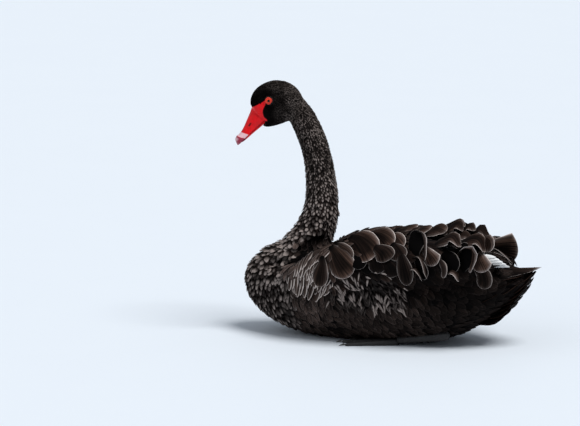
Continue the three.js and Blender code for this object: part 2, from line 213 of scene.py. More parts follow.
# Coat of the head, by rows: a place as (ahead, above, outward), the lie there in the same directions and the
# measures (length, width, gap, height, pale). Pale is raised on the rear rows, partly to paint sheen on the
# nape.
HEAD_COAT = (
    ((31, -10, 0), (-1, 0.5, 0), (2.6, 1.5, 1.1, 0.9, 0.05)),
    ((20, 17, 0), (-1, 0.7, 0), (4, 1.9, 1.3, 1.0, 0.12)),
    ((-5, 31, 0), (-1, 0.1, 0), (5.5, 2.6, 1.8, 1.4, 0.4)),
    ((-5, 24, 17), (-1, 0.0, 0), (5.5, 2.6, 1.8, 1.4, 0.28)),
    ((-35, 28, 0), (-1, -0.5, 0), (6.5, 3, 2.0, 1.8, 0.5)),
    ((-57, 5, 0), (-0.5, -1, 0), (7.5, 3.4, 2.2, 2.2, 0.6)),
    ((-55, -27, 18), (-0.3, -1, 0), (8, 3.6, 2.3, 2.4, 0.6)),
    ((-35, 0, 25), (-1, -0.3, 0), (6.5, 3, 1.9, 1.8, 0.5)),
    ((-35, -32, 18), (-0.8, -0.8, 0), (7, 3, 1.9, 2.0, 0.5)),
    ((-40, -42, 0), (-0.7, -0.8, 0), (7.5, 3.2, 2, 2.1, 0.3)),
    ((8, 8, 22), (-1, 0.2, 0), (3, 1.5, 1.1, 0.8, 0.06)),
    ((-10, 0, 26), (-1, 0.0, 0), (3.6, 1.8, 1.3, 1.0, 0.2)),
    ((4, -15, 23), (-1, -0.2, 0), (3.2, 1.6, 1.1, 0.9, 0.05)),
    ((5, -30, 20), (-1, -0.2, 0), (3.4, 1.6, 1.15, 0.9, 0.06)),
    ((-14, -24, 26), (-1, -0.2, 0), (5, 2.4, 1.6, 1.2, 0.28)),
    ((5, -47, 0), (-1, 0.0, 0), (3.8, 1.8, 1.3, 1.0, 0.1)),
    ((-18, -44, 8), (-1, 0.0, 0), (5.5, 2.4, 1.6, 1.4, 0.2)),
)

# Coat of the neck, by the share of its length: length, width, gap, height and pale
NECK_COAT = (
    through((0.15, 15), (0.35, 12), (0.6, 9), (0.9, 7)),
    through((0.15, 10.5), (0.35, 6.2), (0.6, 4.0), (0.9, 3.0)),
    through((0.15, 6.6), (0.35, 4.5), (0.6, 3.0), (0.9, 2.2)),
    through((0.15, 5.5), (0.35, 4.2), (0.6, 3), (0.9, 2.4)),
    through((0.15, 1.9), (0.35, 1.25), (0.6, 0.9), (0.9, 0.65)),
)

# Coat of the body, in the same way, with its places as (x, outward, z). Pale is kept low on the rear flank
# and round the vent, as painted shade there.
BODY_COAT = (
    ((2, 0, 105), (0.1, 0, -1), (13, 8, 5.4, 3.5, 0.8)),
    ((12, 20, 125), (-0.2, 0.4, -1), (16, 10.5, 6.8, 4.5, 0.8)),
    ((35, 30, 145), (-0.3, 0.2, -0.9), (17, 11.5, 7.4, 5, 1.0)),
    ((60, 55, 130), (0.2, 0.3, -1), (17, 12, 7.8, 5.5, 1.1)),
    ((75, 68, 100), (0.7, 0.1, -0.7), (16, 8, 5.6, 5, 0.8)),
    ((20, 30, 75), (0.6, 0.1, -0.8), (14, 8, 5.4, 4, 0.6)),
    ((45, 20, 40), (0.9, 0, -0.5), (16, 9, 6, 4, 0.3)),
    ((110, 70, 50), (0.95, 0, -0.3), (19, 10, 6.8, 4, 0.35)),
    ((140, 20, 4), (1, 0, 0), (20, 12, 8, 3, 0.25)),
    ((280, 20, 2), (1, 0, 0), (22, 13, 8.5, 3, 0.25)),
    ((400, 20, 10), (1, 0, 0.2), (24, 13, 8.5, 4, 0.2)),
    ((200, 80, 30), (1, 0, -0.1), (22, 12, 7.6, 4, 0.3)),
    ((340, 85, 40), (1, 0, -0.1), (24, 12, 7.8, 5, 0.25)),
    ((120, 88, 88), (0.6, 0, -0.85), (20, 7, 5, 5, 0.5)),
    ((190, 100, 92), (0.45, 0, -0.95), (24, 7, 5, 6, 0.35)),
    ((260, 104, 92), (0.45, 0, -0.95), (25, 6.5, 4.8, 7, 0.3)),
    ((330, 104, 92), (0.5, 0, -0.9), (26, 7, 5, 7, 0.25)),
    ((220, 98, 65), (0.8, 0, -0.6), (22, 9, 6, 5, 0.25)),
    ((330, 96, 70), (0.8, 0, -0.6), (24, 10, 6.4, 5, 0.3)),
    ((400, 92, 100), (0.8, 0, -0.6), (26, 12, 7.4, 6, 0.1)),
    ((460, 74, 105), (0.95, 0, -0.2), (28, 14, 8.4, 6, 0.08)),
    ((430, 60, 45), (1, 0, 0.3), (26, 13, 8.2, 5, 0.1)),
    ((500, 45, 95), (1, 0, 0.5), (28, 14, 8.4, 5, 0.1)),
    ((515, 0, 85), (1, 0, 0.9), (28, 14, 8.4, 5, 0.1)),
    ((530, 25, 125), (1, 0, 0.3), (26, 13, 8, 4, 0.12)),
    ((500, 30, 150), (1, 0, -0.05), (28, 14, 8.4, 4, 0.2)),
    ((450, 30, 165), (1, 0, -0.1), (28, 15, 8.8, 5, 0.3)),
    ((185, 0, 168), (1, 0, 0.0), (20, 12, 7.5, 5, 0.5)),
    ((230, 20, 175), (1, 0, 0.05), (26, 16, 9.5, 6, 0.6)),
    ((330, 15, 182), (1, 0, 0.0), (30, 18, 10.5, 6, 0.5)),
    ((102, 86, 128), (-0.1, 0.2, -1), (24, 7.5, 5, 5, 1.0)),
    ((118, 90, 141), (-0.6, 0.3, -0.8), (34, 8.5, 6, 6, 1.2)),
    ((140, 86, 156), (-0.75, 0.35, -0.6), (38, 8.5, 6, 7, 1.3)),
    ((162, 74, 170), (-0.8, 0.4, -0.5), (40, 8.5, 6, 7, 1.3)),
    ((182, 64, 181), (-0.7, 0.6, -0.45), (38, 9, 6.2, 7, 1.3)),
    ((125, 98, 128), (-0.15, 0.1, -1), (34, 8.5, 6, 6, 1.2)),
    ((145, 105, 140), (-0.2, 0.2, -1), (38, 8.5, 6, 7, 1.3)),
    ((165, 106, 155), (-0.3, 0.4, -0.9), (40, 8.5, 6, 8, 1.3)),
    ((185, 96, 172), (-0.2, 0.7, -0.7), (38, 9, 6.2, 8, 1.3)),
    ((140, 104, 115), (0.0, 0, -1), (36, 9, 6.2, 6, 1.2)),
    ((175, 110, 114), (0.0, 0, -1), (36, 11, 7, 7, 1.0)),
    ((215, 116, 125), (0.6, 0, -0.8), (36, 22, 12, 7, 0.6)),
    ((215, 60, 180), (0.95, 0.25, 0), (30, 14, 8.5, 6, 1.0)),
    ((270, 118, 130), (0.6, 0, -0.8), (36, 26, 13, 7, 0.35)),
    ((270, 75, 190), (0.95, 0.3, -0.1), (40, 28, 14, 7, 0.6)),
    ((340, 118, 135), (0.6, 0, -0.8), (38, 28, 14, 7, 0.25)),
    ((350, 60, 196), (0.95, 0.3, 0), (40, 28, 14, 7, 0.5)),
    ((400, 108, 145), (0.6, 0, -0.8), (36, 26, 13, 7, 0.15)),
    ((420, 50, 188), (1, 0.1, 0), (36, 26, 13, 7, 0.4)),
    ((460, 85, 145), (0.7, 0, -0.6), (34, 24, 12, 6, 0.15)),
    ((485, 45, 162), (1, 0, -0.3), (28, 18, 9, 5, 0.25)),
)


def coat_rows():
    """The body's rows with rows of the neck: places, lies and measures as arrays."""
    rows = [tuple(np.array(v, float) for v in row) for row in BODY_COAT]
    for share in np.linspace(0.16, 0.92, 10):
        i = int(share * (len(NECK_SHARES) - 1))
        front = np.array((-NECK_WAY[i, 2], 0, NECK_WAY[i, 0]))
        fur = np.array([float(measure(share)) for measure in NECK_COAT])
        before, beside = front * NECK_DEPTH(share), np.array((0, NECK_WIDTH(share), 0))
        for place in (before, beside, -before):
            rows.append((NECK_LINE[i] + place, -NECK_WAY[i], fur))
    return [np.array(column) for column in zip(*rows)]


def blended(places, rows):
    """Lie and measures at each place, from the rows near it."""
    spots, lies, measures = rows
    apart = ((places[:, None] - spots[None]) ** 2).sum(-1)
    weight = 1 / (apart + 16) ** 2
    weight /= weight.sum(1, keepdims=True)
    return weight @ lies, weight @ measures


def coat_at(points):
    """Lie (as directions in bird space) and measures of the coat at points in bird space."""
    side = np.sign(points[:, 1] + 1e-9)
    folded = points * (1, 0, 1) + np.abs(points[:, 1:2]) * (0, 1, 0)
    lie, measures = blended(folded, coat_rows())
    lie = lie * np.stack([np.ones(len(side)), side, np.ones(len(side))], 1)
    local = in_head(points)
    spots = [np.array(column, float) for column in zip(*HEAD_COAT)]
    flip = np.sign(local[:, 2:] + 1e-9)
    ahead = local * (1, 1, 0) + np.abs(local[:, 2:]) * (0, 0, 1)
    way, fur = blended(ahead, spots)
    way = FORWARD * way[:, :1] + LEFTWARD * way[:, 2:] * flip + way[:, 1:2] * np.array((0, 0, 1))
    near = on_head(points)[:, None]
    return unit(lie) * (1 - near) + unit(way) * near, measures * (1 - near) + fur * near


# The dark fold between the neck's base and the front edge of a folded wing: (x, outward, z, half width)
FOLD = (
    (64, 53, 134, 5), (80, 58, 136, 8), (95, 63, 138, 11), (111, 63, 144, 14),
    (126, 54, 155, 15), (141, 44, 163, 15), (156, 34, 170, 13), (164, 26, 175, 7),
)  # fmt: skip
# The front edge of a folded wing: its height and how far out it lies
WING_EDGE = through((104, 124), (125, 140), (143, 155), (160, 168), (179, 181), (198, 190), (212, 194))
WING_OUT = through((70, 66), (104, 90), (125, 95), (143, 91), (160, 83), (179, 79), (198, 78))


def crevice(points):
    """1 in the dark fold before a folded wing, fading beside it."""
    fold = np.array(FOLD, float)
    s = np.linspace(0, len(fold) - 1, 36)
    fold = np.stack([np.interp(s, np.arange(len(fold)), column) for column in fold.T], 1)
    folded = points * (1, 0, 1) + np.abs(points[:, 1:2]) * (0, 1, 0)
    apart = np.sqrt(((folded[:, None] - fold[None, :, :3]) ** 2).sum(-1)) - fold[:, 3]
    return (1 - smooth(apart.min(1), -1, 7)) * ~in_wing(points)


def on_head(points):
    """1 on the head, 0 on the neck and body and a soft step between."""
    share = dot(points - NECK_LINE[-16], NECK_WAY[-16])
    return smooth(share, -8, 8) * (points[:, 2] > 330)


def unwrapped(points, charts):
    """Places round and along the skin's charts, where 0 is the body, 1 the neck and 2 the head."""
    body = np.arctan2(points[:, 1], points[:, 2] - BODY_AXIS), points[:, 0] / BIRD_LENGTH
    nearest = ((points[:, None, ::2] - NECK_LINE[None, ::3, ::2]) ** 2).sum(-1).argmin(1) * 3
    front = np.stack([-NECK_WAY[nearest, 2], 0 * nearest, NECK_WAY[nearest, 0]], 1)
    neck = np.arctan2(points[:, 1], -dot(points - NECK_LINE[nearest], front)), nearest / len(NECK_SHARES)
    ahead, above, left = in_head(points).T
    head = np.arctan2(left, above + 8), (ahead - HEAD_BACK) / (HEAD_FRONT + 4 - HEAD_BACK)
    angle = np.choose(charts, [body[0], neck[0], head[0]])
    along = np.clip(np.choose(charts, [body[1], neck[1] * 1.1 - 0.1, head[1]]), 0, 1)
    return angle / (2 * math.pi) + 0.5, along


def chart_of(points):
    above_breast = (points[:, 2] > NECK_BASE) & (points[:, 0] < 200)
    return np.where(above_breast, np.where(on_head(points) > 0.5, 2, 1), 0)


# Shares of the map's height for the charts of the body, the neck and the head: on the skin, on the coat of
# the head, neck and breast, and on a coat that lies on the body alone
CHART_SPANS = np.array(((0.02, 0.49), (0.51, 0.74), (0.76, 0.98)))
FRONT_SPANS = np.array(((0.02, 0.30), (0.32, 0.66), (0.68, 0.98)))
WHOLE_MAP = np.array(((0.02, 0.98),) * 3)


def map_place(points, charts, spans):
    """Places on the map, each chart in its own span of the map's height."""
    u, v = unwrapped(points, charts)
    low, high = spans[charts].T
    return np.stack([0.03 + 0.9 * u, low + (high - low) * v], 1)


class Value:
    """A number in a shader. Sums and products of values add the nodes that work them out."""

    def __init__(self, shader, socket):
        self.shader, self.socket = shader, socket

    def __add__(self, other):
        return self.shader.math("ADD", self, other)

    def __sub__(self, other):
        return self.shader.math("SUBTRACT", self, other)

    def __mul__(self, other):
        return self.shader.math("MULTIPLY", self, other)

    def __rsub__(self, other):
        return self.shader.math("SUBTRACT", other, self)

    __radd__, __rmul__ = __add__, __mul__


class Shader:
    """The node tree of one material, ending in its surface."""

    def __init__(self, name):
        self.material = bpy.data.materials.new(name)
        self.material.use_nodes = True
        self.tree = self.material.node_tree
        self.tree.nodes.clear()

    def node(self, kind, settings, inputs, output=0):
        """Adds a node: its settings first, then the values or links of its sockets."""
        node = self.tree.nodes.new("ShaderNode" + kind)
        for name, value in settings.items():
            setattr(node, name, value)
        for key, value in inputs.items():
            if isinstance(value, Value):
                self.tree.links.new(value.socket, node.inputs[key])
            elif isinstance(value, (tuple, list)) and node.inputs[key].type == "RGBA":
                node.inputs[key].default_value = (*value[:3], 1)
            else:
                node.inputs[key].default_value = value
        return Value(self, node.outputs[output]) if node.outputs else node

    def math(self, operation, a, b=0.0):
        return self.node("Math", {"operation": operation}, {0: a, 1: b})

    def mix(self, share, a, b):
        return self.node("Mix", {"data_type": "RGBA"}, {0: share, 6: a, 7: b}, 2)

    def step(self, value, low, high):
        settings = {"interpolation_type": "SMOOTHSTEP"}
        return self.node("MapRange", settings, {0: value, 1: low, 2: high})

    def attribute(self, name):
        return self.node("Attribute", {"attribute_name": name}, {}, 2)

    def place(self):
        return self.node("TexCoord", {}, {}, 3)

    def noise(self, vector, scale, detail=3.0):
        return self.node("TexNoise", {}, {"Vector": vector, "Scale": scale, "Detail": detail})

    def cells(self, vector, scale, feature="F1"):
        return self.node("TexVoronoi", {"feature": feature}, {"Vector": vector, "Scale": scale})

    def vector(self, x, y, z=0.0):
        return self.node("CombineXYZ", {}, {0: x, 1: y, 2: z})

    def bump(self, height, depth):
        return self.node("Bump", {}, {"Height": height, "Distance": depth})

    def surface(self, inputs):
        """Ends the tree in a Principled surface with these inputs, and gives the material."""
        shine = self.node("BsdfPrincipled", {}, inputs)
        self.node("OutputMaterial", {}, {0: shine})
        return self.material


class SwanSizes(bpy.types.PropertyGroup):
    """Sizes that a user would change."""

    skin_voxel: bpy.props.FloatProperty(
        name="Skin mesh", description="Size of the skin's faces", default=0.0028, subtype="DISTANCE"
    )
    lie_scatter: bpy.props.FloatProperty(
        name="Lie scatter", description="How far feathers turn from the lie", default=0.16, subtype="ANGLE"
    )
    pupil: bpy.props.FloatProperty(
        name="Pupil", description="Radius of the pupil", default=0.0024, subtype="DISTANCE"
    )
    floor: bpy.props.FloatProperty(
        name="Floor", description="Radius of the floor", default=14.0, subtype="DISTANCE"
    )


def colour(name, description, default):
    return bpy.props.FloatVectorProperty(
        name=name, description=description, default=default, subtype="COLOR", size=3, min=0, max=1
    )


class SwanColours(bpy.types.PropertyGroup):
    """Colours of the plumage and the bare parts."""

    soot: colour("Soot", "Dark part of every feather", (0.0018, 0.0015, 0.0015))
    brown: colour("Brown", "Worn brown of the large round feathers", (0.085, 0.050, 0.037))
    fringe: colour("Fringe", "Pale edges of the feathers", (0.20, 0.160, 0.145))
    # The small tufts' pale tips: partly their own colour, partly painted sheen.
    dust_sheen: colour("Dust", "Pale tips of the small tufts", (0.27, 0.225, 0.205))
    # The curled feathers' pale rims, made brighter so that they also paint the highlights along them.
    rim: colour("Rim", "Thin rims of the curled feathers", (0.62, 0.54, 0.50))
    white: colour("White", "Ends of the flight feathers", (0.95, 0.96, 0.96))
    red: colour("Red", "Bill and bare face", (0.80, 0.0015, 0.006))
    band: colour("Band", "Pale band across the bill", (0.80, 0.52, 0.56))
    nail: colour("Nail", "Nail at the bill's tip", (0.30, 0.03, 0.06))
    iris: colour("Iris", "Ring of the eye", (0.85, 0.06, 0.025))
    hide: colour("Hide", "Skin of the feet and shanks", (0.016, 0.014, 0.014))
    floor: colour("Floor", "Floor and background", (0.78, 0.83, 0.88))


def sizes():
    return bpy.context.scene.swan_sizes


def colours():
    return bpy.context.scene.swan_colours


def plumage(name, rim_width=1.3, rim=None, glow=0.3, bump=0.0):
    """Feather finish: sooty vanes with fine barbs and long streaks, browner towards their edges by tone,
    darker towards their roots by wear and painted shade, with thin pale rims that are partly painted
    highlight, and a nearly black underside that is painted shade."""
    c = colours()
    shader = Shader(name)
    tip, tone, pale = (shader.attribute(word) for word in ("tip", "tone", "pale"))
    margin, barb, ray = (shader.attribute(word) for word in ("margin", "barb", "ray"))
    barbs = shader.noise(shader.vector(barb * 1.3, tone * 40, margin * 0.12), 1.0, 2.0)
    rays = shader.noise(shader.vector(ray * 34, tone * 40, tip * 0.8), 1.0, 3.0)
    streaks = shader.step(rays, 0.34, 0.66) * 0.75 + barbs * 0.35
    # Darker towards the root: partly wear, partly painted shade where the feathers lie under others.
    wear_and_root_shade = shader.step(tip, 0.05, 0.5)
    lit = tone * pale * wear_and_root_shade
    outer = 1 - shader.step(margin, 0.0, 20.0)
    lively = lit * (streaks * streaks + 0.12) * (outer * 0.95 + 0.12)
    ground = shader.mix(lively, tuple(c.soot), tuple(c.brown))
    near = 1 - shader.step(margin, 0.0, 9.0)
    paint = shader.mix(lit * near * near * (streaks * 0.8 + 0.25) * glow, ground, tuple(c.fringe))
    # Thin pale rims: partly the feathers' own pale edges, partly painted highlight.
    edge = (1 - shader.step(margin + barbs * 0.7, 0.3, rim_width)) * wear_and_root_shade * pale
    paint = shader.mix(edge * (0.35 + tone * 0.65), paint, tuple(rim or c.fringe))
    # The vanes' lower sides are painted nearly black: painted shade beneath the feathers.
    shaded_underside_paint = shader.mix(streaks * streaks * 0.45, (0.0006, 0.0005, 0.0005), (0.008, 0.006, 0.005))
    paint = shader.mix(shader.attribute("under"), paint, shaded_underside_paint)
    inputs = {"Base Color": paint, "Roughness": 0.65, "Specular IOR Level": 0.02}
    if bump:
        inputs["Normal"] = shader.bump(barbs * 0.5 + streaks * 0.5, bump)
    return shader.surface(inputs)


def tufted(name, brightness=1.0):
    """Finish of short tufts: black roots, which also paint the shade under the tufts above, and pale tips that
    are partly their own colour and partly painted sheen, lightest along their middles as painted light.
    """
    c = colours()
    shader = Shader(name)
    tip, tone, pale, margin = (shader.attribute(word) for word in ("tip", "tone", "pale", "margin"))
    spots = shader.noise(shader.place(), 700.0, 2.0)
    patches = shader.noise(shader.place(), 55.0, 2.0)
    # Pale tips, partly the tufts' own colour and partly painted sheen; the darker part nearer the root also
    # paints the shade under the tufts above.
    dust_and_sheen = shader.step(tip + spots * 0.3, 0.42, 1.08) * pale * (0.12 + shader.step(tone, 0.1, 0.85))
    # Painted light along each tuft's middle, with painted shade at its sides.
    dust_and_sheen = dust_and_sheen * (0.15 + shader.step(margin, 0.0, 1.3) * 0.95)
    dust_and_sheen = dust_and_sheen * (0.5 + shader.step(patches, 0.35, 0.6) * 0.9)
    ground = shader.mix(tone * pale * 0.07, (0.0008, 0.0007, 0.0007), tuple(c.brown))
    return shader.surface(
        {
            "Base Color": shader.mix(dust_and_sheen * brightness, ground, tuple(c.dust_sheen)),
            "Roughness": 0.75,
            "Specular IOR Level": 0.01,
        }
    )


def skin_finish():
    """Dark skin under the coat with the same shading, and waxy red bare skin before the eyes."""
    c = colours()
    shader = Shader("skin")
    bare, pale = shader.attribute("bare"), shader.attribute("pale")
    grain = shader.noise(shader.place(), 420.0, 4.0)
    dark = shader.mix(pale * grain * 0.4, tuple(c.soot), tuple(c.brown))
    wrinkled = shader.cells(shader.place(), 900.0, "SMOOTH_F1")
    red = shader.mix(shader.step(grain, 0.35, 0.75) * 0.35, tuple(c.red), (0.35, 0.003, 0.006))
    relief = shader.bump(wrinkled * 0.6 + grain * 0.4, 0.0003)
    return shader.surface(
        {
            "Base Color": shader.mix(bare, dark, red),
            "Roughness": 0.75 - bare * 0.38,
            "Specular IOR Level": 0.2,
            "Normal": relief,
        }
    )


def deselect():
    bpy.ops.object.select_all(action="DESELECT")


def select_only(*objects):
    deselect()
    for o in objects:
        o.select_set(True)
    bpy.context.view_layer.objects.active = objects[0]


def edit_whole(o, tool, **settings):
    """Runs one of the mesh tools over a whole mesh."""
    select_only(o)
    bpy.ops.object.mode_set(mode="EDIT")
    bpy.ops.mesh.select_all(action="SELECT")
    tool(**settings)
    bpy.ops.object.mode_set(mode="OBJECT")


def drop_maps(o):
    for layer in list(o.data.uv_layers):
        o.data.uv_layers.remove(layer)


def copy_of(node, name):
    """A copy of a CAD node with its doubled vertices merged."""
    copy = bpy.data.objects.new(name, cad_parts[node].data.copy())
    bpy.context.scene.collection.objects.link(copy)
    copy.data.materials.clear()
    drop_maps(copy)
    edit_whole(copy, bpy.ops.mesh.remove_doubles, threshold=1e-5)
    return copy


def apply_modifier(o, kind, **settings):
    """Adds a modifier with these settings and applies it."""
    select_only(o)
    modifier = o.modifiers.new(kind.lower(), kind)
    for name, value in settings.items():
        setattr(modifier, name, value)
    bpy.ops.object.modifier_apply(modifier=modifier.name)


def joined(objects, name):
    select_only(*objects)
    bpy.ops.object.join()
    objects[0].name = objects[0].data.name = name
    return objects[0]


def read(items, word, width=1, kind=np.float32):
    """One value, or a row of values, for each of a mesh's items."""
    flat = np.empty(len(items) * width, kind)
    items.foreach_get(word, flat)
    return flat.reshape(-1, width) if width > 1 else flat


def points_of(o):
    return in_bird(read(o.data.vertices, "co", 3))


def normals_of(o):
    return read(o.data.vertices, "normal", 3).astype(float)


def set_points(o, points):
    o.data.vertices.foreach_set("co", in_metres(points).astype(np.float32).ravel())
    o.data.update()


def store(o, name, values):
    """Keeps one number for each vertex as an attribute that a material reads."""
    o.data.attributes.new(name, "FLOAT", "POINT").data.foreach_set("value", np.asarray(values, np.float32))


def mesh_of(name, points, loops, sizes_of_faces):
    """A mesh object from bird-space points and faces given as a run of corners."""
    mesh = bpy.data.meshes.new(name)
    starts = np.concatenate([[0], np.cumsum(sizes_of_faces)[:-1]])
    mesh.vertices.add(len(points))
    mesh.loops.add(len(loops))
    mesh.polygons.add(len(sizes_of_faces))
    mesh.vertices.foreach_set("co", in_metres(points).astype(np.float32).ravel())
    mesh.loops.foreach_set("vertex_index", loops.astype(np.int32))
    mesh.polygons.foreach_set("loop_start", starts.astype(np.int32))
    mesh.update(calc_edges=True)
    o = bpy.data.objects.new(name, mesh)
    bpy.context.scene.collection.objects.link(o)
    return o


def ring_faces(rings, sides):
    """Corners and sizes of the faces of a closed tube: a root point, rings of points and a tip point."""
    loops, sizes_of_faces = [], []
    last = 1 + rings * sides
    for k in range(sides):
        n = (k + 1) % sides
        loops += [0, 1 + n, 1 + k]
        loops += [last, last - sides + k, last - sides + n]
        sizes_of_faces += [3, 3]
    for start in range(1, last - sides, sides):
        for k in range(sides):
            n = (k + 1) % sides
            loops += [start + k, start + n, start + sides + n, start + sides + k]
            sizes_of_faces.append(4)
    return np.array(loops), np.array(sizes_of_faces)


def soften(o, repeats, shrink=None):
    """Evens out a mesh and keeps its volume; with weights, it also fills hollows where they are high."""
    points = points_of(o)
    a, b = read(o.data.edges, "vertices", 2, np.int32).T
    count = len(points)
    near = np.bincount(np.concatenate([a, b]), minlength=count)[:, None]
    steps = (0.5, -0.52) if shrink is None else (0.5 * shrink[:, None],)
    for _ in range(repeats):
        for share in steps:
            sums = [np.bincount(a, p[b], count) + np.bincount(b, p[a], count) for p in points.T]
            points = points + share * (np.stack(sums, 1) / near - points)
    set_points(o, points)


def finish_piece(o, material, slot, *nodes):
    """Smooths a piece and gives it its finish, rides it on the body and hides the solids it stands for."""
    o.data.polygons.foreach_set("use_smooth", np.ones(len(o.data.polygons), bool))
    o.data.materials.clear()
    o.data.materials.append(material)
    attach(o, "root")
    if nodes:
        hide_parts(*nodes)


def wing_mass(side):
    """One folded wing as a closed shape for the skin."""
    rings, sides_round = 40, 32
    s = np.linspace(0, 1, rings + 2)
    x = WING_FRONT + (WING_REAR - WING_FRONT) * (1 - np.cos(s * math.pi)) / 2
    round_by = np.arange(sides_round) * 2 * math.pi / sides_round
    c, n = power(np.cos(round_by), 0.85), power(np.sin(round_by), 0.85)
    out, low = wing_out(x)[:, None], wing_low(x)[:, None]
    inner, top = wing_in(x)[:, None], wing_top(x)[:, None]
    across = (out + inner) / 2 + (out - inner) / 2 * c
    height = (top + low) / 2 + (top - low) / 2 * n
    rows = np.stack([np.broadcast_to(x[:, None], across.shape), -side * across, height], -1)
    ends = rows.mean(1)
    points = np.concatenate([ends[:1], rows[1:-1].reshape(-1, 3), ends[-1:]])
    loops, counts = ring_faces(rings, sides_round)
    o = mesh_of("wing mass", points, loops, counts)
    edit_whole(o, bpy.ops.mesh.normals_make_consistent, inside=False)
    return o


SKIN_SWELL = 0.0005  # in metres, what the skin's parts gain before they are merged
SKIN_LOW = 0.4  # the skin's lowest height over the floor
NAPE = (-60, 2, 0)  # the hollow behind the head, which is filled
FACE_MIDDLE = (8, -10)  # ahead and above, between the eye and the bill
FACE_REACH, EYE_REACH = 62, 30  # how far from there the skin's faces are split once and twice


def refine(o, reach):
    """Splits the skin's faces within reach of the middle of the bare face in four."""
    select_only(o)
    bpy.ops.object.mode_set(mode="EDIT")
    bpy.ops.mesh.select_mode(type="FACE")
    bpy.ops.mesh.select_all(action="DESELECT")
    bpy.ops.object.mode_set(mode="OBJECT")
    places = in_bird(read(o.data.polygons, "center", 3))
    ahead, above, _ = in_head(places).T
    near = np.hypot(ahead - FACE_MIDDLE[0], above - FACE_MIDDLE[1]) < reach
    o.data.polygons.foreach_set("select", near & (places[:, 2] > HEAD_LOW))
    bpy.ops.object.mode_set(mode="EDIT")
    bpy.ops.mesh.subdivide(number_cuts=1)
    bpy.ops.object.mode_set(mode="OBJECT")


def eye_ring(points):
    """Distance from the nearer eye's own axis, in millimetres, and 1 on the eye's side of the head."""
    ahead, above, left = in_head(points).T
    return np.hypot(ahead - EYE_AHEAD, above - EYE_ABOVE), (np.abs(left) > 12) & (points[:, 2] > HEAD_LOW)


def coat_depth(points):
    """How deep the skin lies under the coat's surface, in millimetres."""
    _, measures = coat_at(points)
    z = points[:, 2]
    front = points[:, 0] < np.interp(z, (NECK_BASE - 60, NECK_BASE), (100, 200))
    neck = smooth(z, NECK_BASE - 60, NECK_BASE) * (1 - smooth(z, NECK_TOP, NECK_TOP + 40)) * front
    return measures[:, 3] * (1 - 0.55 * neck) + 8 * crevice(points)


def lay_skin(o):
    """Draws the skin in by the coat's depth, and models the lids and the folds of the bare face."""
    points, normals = points_of(o), normals_of(o)
    bare = lore(points)
    depth = coat_depth(points) * (1 - bare)
    ring, there = eye_ring(points)
    lid = np.exp(-(((ring - LID_FOLD) / 1.3) ** 2)) * there
    hollow = np.exp(-(((ring - LID_HOLLOW) / 1.6) ** 2)) * there
    ahead, above, _ = in_head(points).T
    folds = 0.22 * np.sin(1.7 * ring) * np.exp(-(((ring - 9) / 4) ** 2)) * there
    root = smooth(in_bill(points)[:, 0], -9, 2) * bare
    gape = np.exp(-(((above + 33 + 0.35 * (ahead - 5)) / 1.1) ** 2)) * smooth(ahead, 3, 7) * bare
    move = -depth + 0.75 * lid - 0.4 * hollow + folds - 0.7 * gape - 0.6 * root
    points = points + normals * move[:, None]
    points[:, 2] = np.maximum(points[:, 2], SKIN_LOW)
    set_points(o, points)
    return bare


class SWAN_OT_skin(bpy.types.Operator):
    """One skin over the trunk, neck, head and folded wings, under the coat by its depth"""

    bl_idname = "swan.skin"
    bl_label = "Skin"

    def execute(self, context):
        parts = [copy_of(node, "skin") for node in (*FLESH, "eye_left", "eye_right")]
        parts += [self.bill_root(node) for node in ("bill_upper", "bill_lower")]
        parts += [wing_mass(side) for _, side in SIDES]
        skin = joined(parts, "skin")
        apply_modifier(skin, "DISPLACE", strength=SKIN_SWELL, mid_level=0)
        apply_modifier(skin, "REMESH", mode="VOXEL", voxel_size=sizes().skin_voxel)
        soften(skin, 12)
        nape = np.exp(-(((points_of(skin) - from_head(*NAPE)) / 22) ** 2).sum(1))
        soften(skin, 40, nape)
        refine(skin, FACE_REACH)
        refine(skin, EYE_REACH)
        soften(skin, 6)
        bare = lay_skin(skin)
        points = points_of(skin)
        _, measures = coat_at(points)
        store(skin, "bare", bare)
        store(skin, "pale", measures[:, 4])
        self.map_skin(skin, points)
        finish_piece(skin, skin_finish(), "plumage", *FLESH, "wing_left", "wing_right")
        return {"FINISHED"}

    def bill_root(self, node):
        """The part of a half of the bill that lies in the face."""
        root = copy_of(node, "root")
        out = FORWARD * math.cos(BILL_DOWN) - np.array((0, 0, 1)) * math.sin(BILL_DOWN)
        cut = in_metres(from_head(BILL_ROOT[0], BILL_ROOT[1], 0) + out * 3)
        edit_whole(root, bpy.ops.mesh.bisect, plane_co=cut, plane_no=out, use_fill=True, clear_outer=True)
        return root

    def map_skin(self, skin, points):
        """The skin's own unwrap, face by face, so that no face spans a chart's seam."""
        mesh = skin.data
        corners = read(mesh.loops, "vertex_index", 1, np.int32)
        totals = read(mesh.polygons, "loop_total", 1, np.int32)
        face = np.repeat(np.arange(len(totals)), totals)
        starts = np.cumsum(totals) - totals
        centres = np.add.reduceat(points[corners], starts) / totals[:, None]
        charts = chart_of(centres)[face]
        u, v = unwrapped(points[corners], charts)
        widest = np.maximum.reduceat(u, starts)[face]
        u = np.where((widest - u) > 0.5, u + 1, u)
        low, high = CHART_SPANS[charts].T
        flat = np.stack([0.02 + 0.92 * u, low + (high - low) * v], 1)
        layer = mesh.uv_layers.new(name="OFBake")
        layer.data.foreach_set("uv", np.clip(flat, 0, 1).astype(np.float32).ravel())


def skin_tree():
    """The skin as a search tree in bird space, with its triangles for scattering."""
    skin = bpy.data.objects["skin"]
    points = points_of(skin)
    skin.data.calc_loop_triangles()
    triangles = read(skin.data.loop_triangles, "vertices", 3, np.int32)
    return BVHTree.FromPolygons(points.tolist(), triangles.tolist()), points, normals_of(skin), triangles


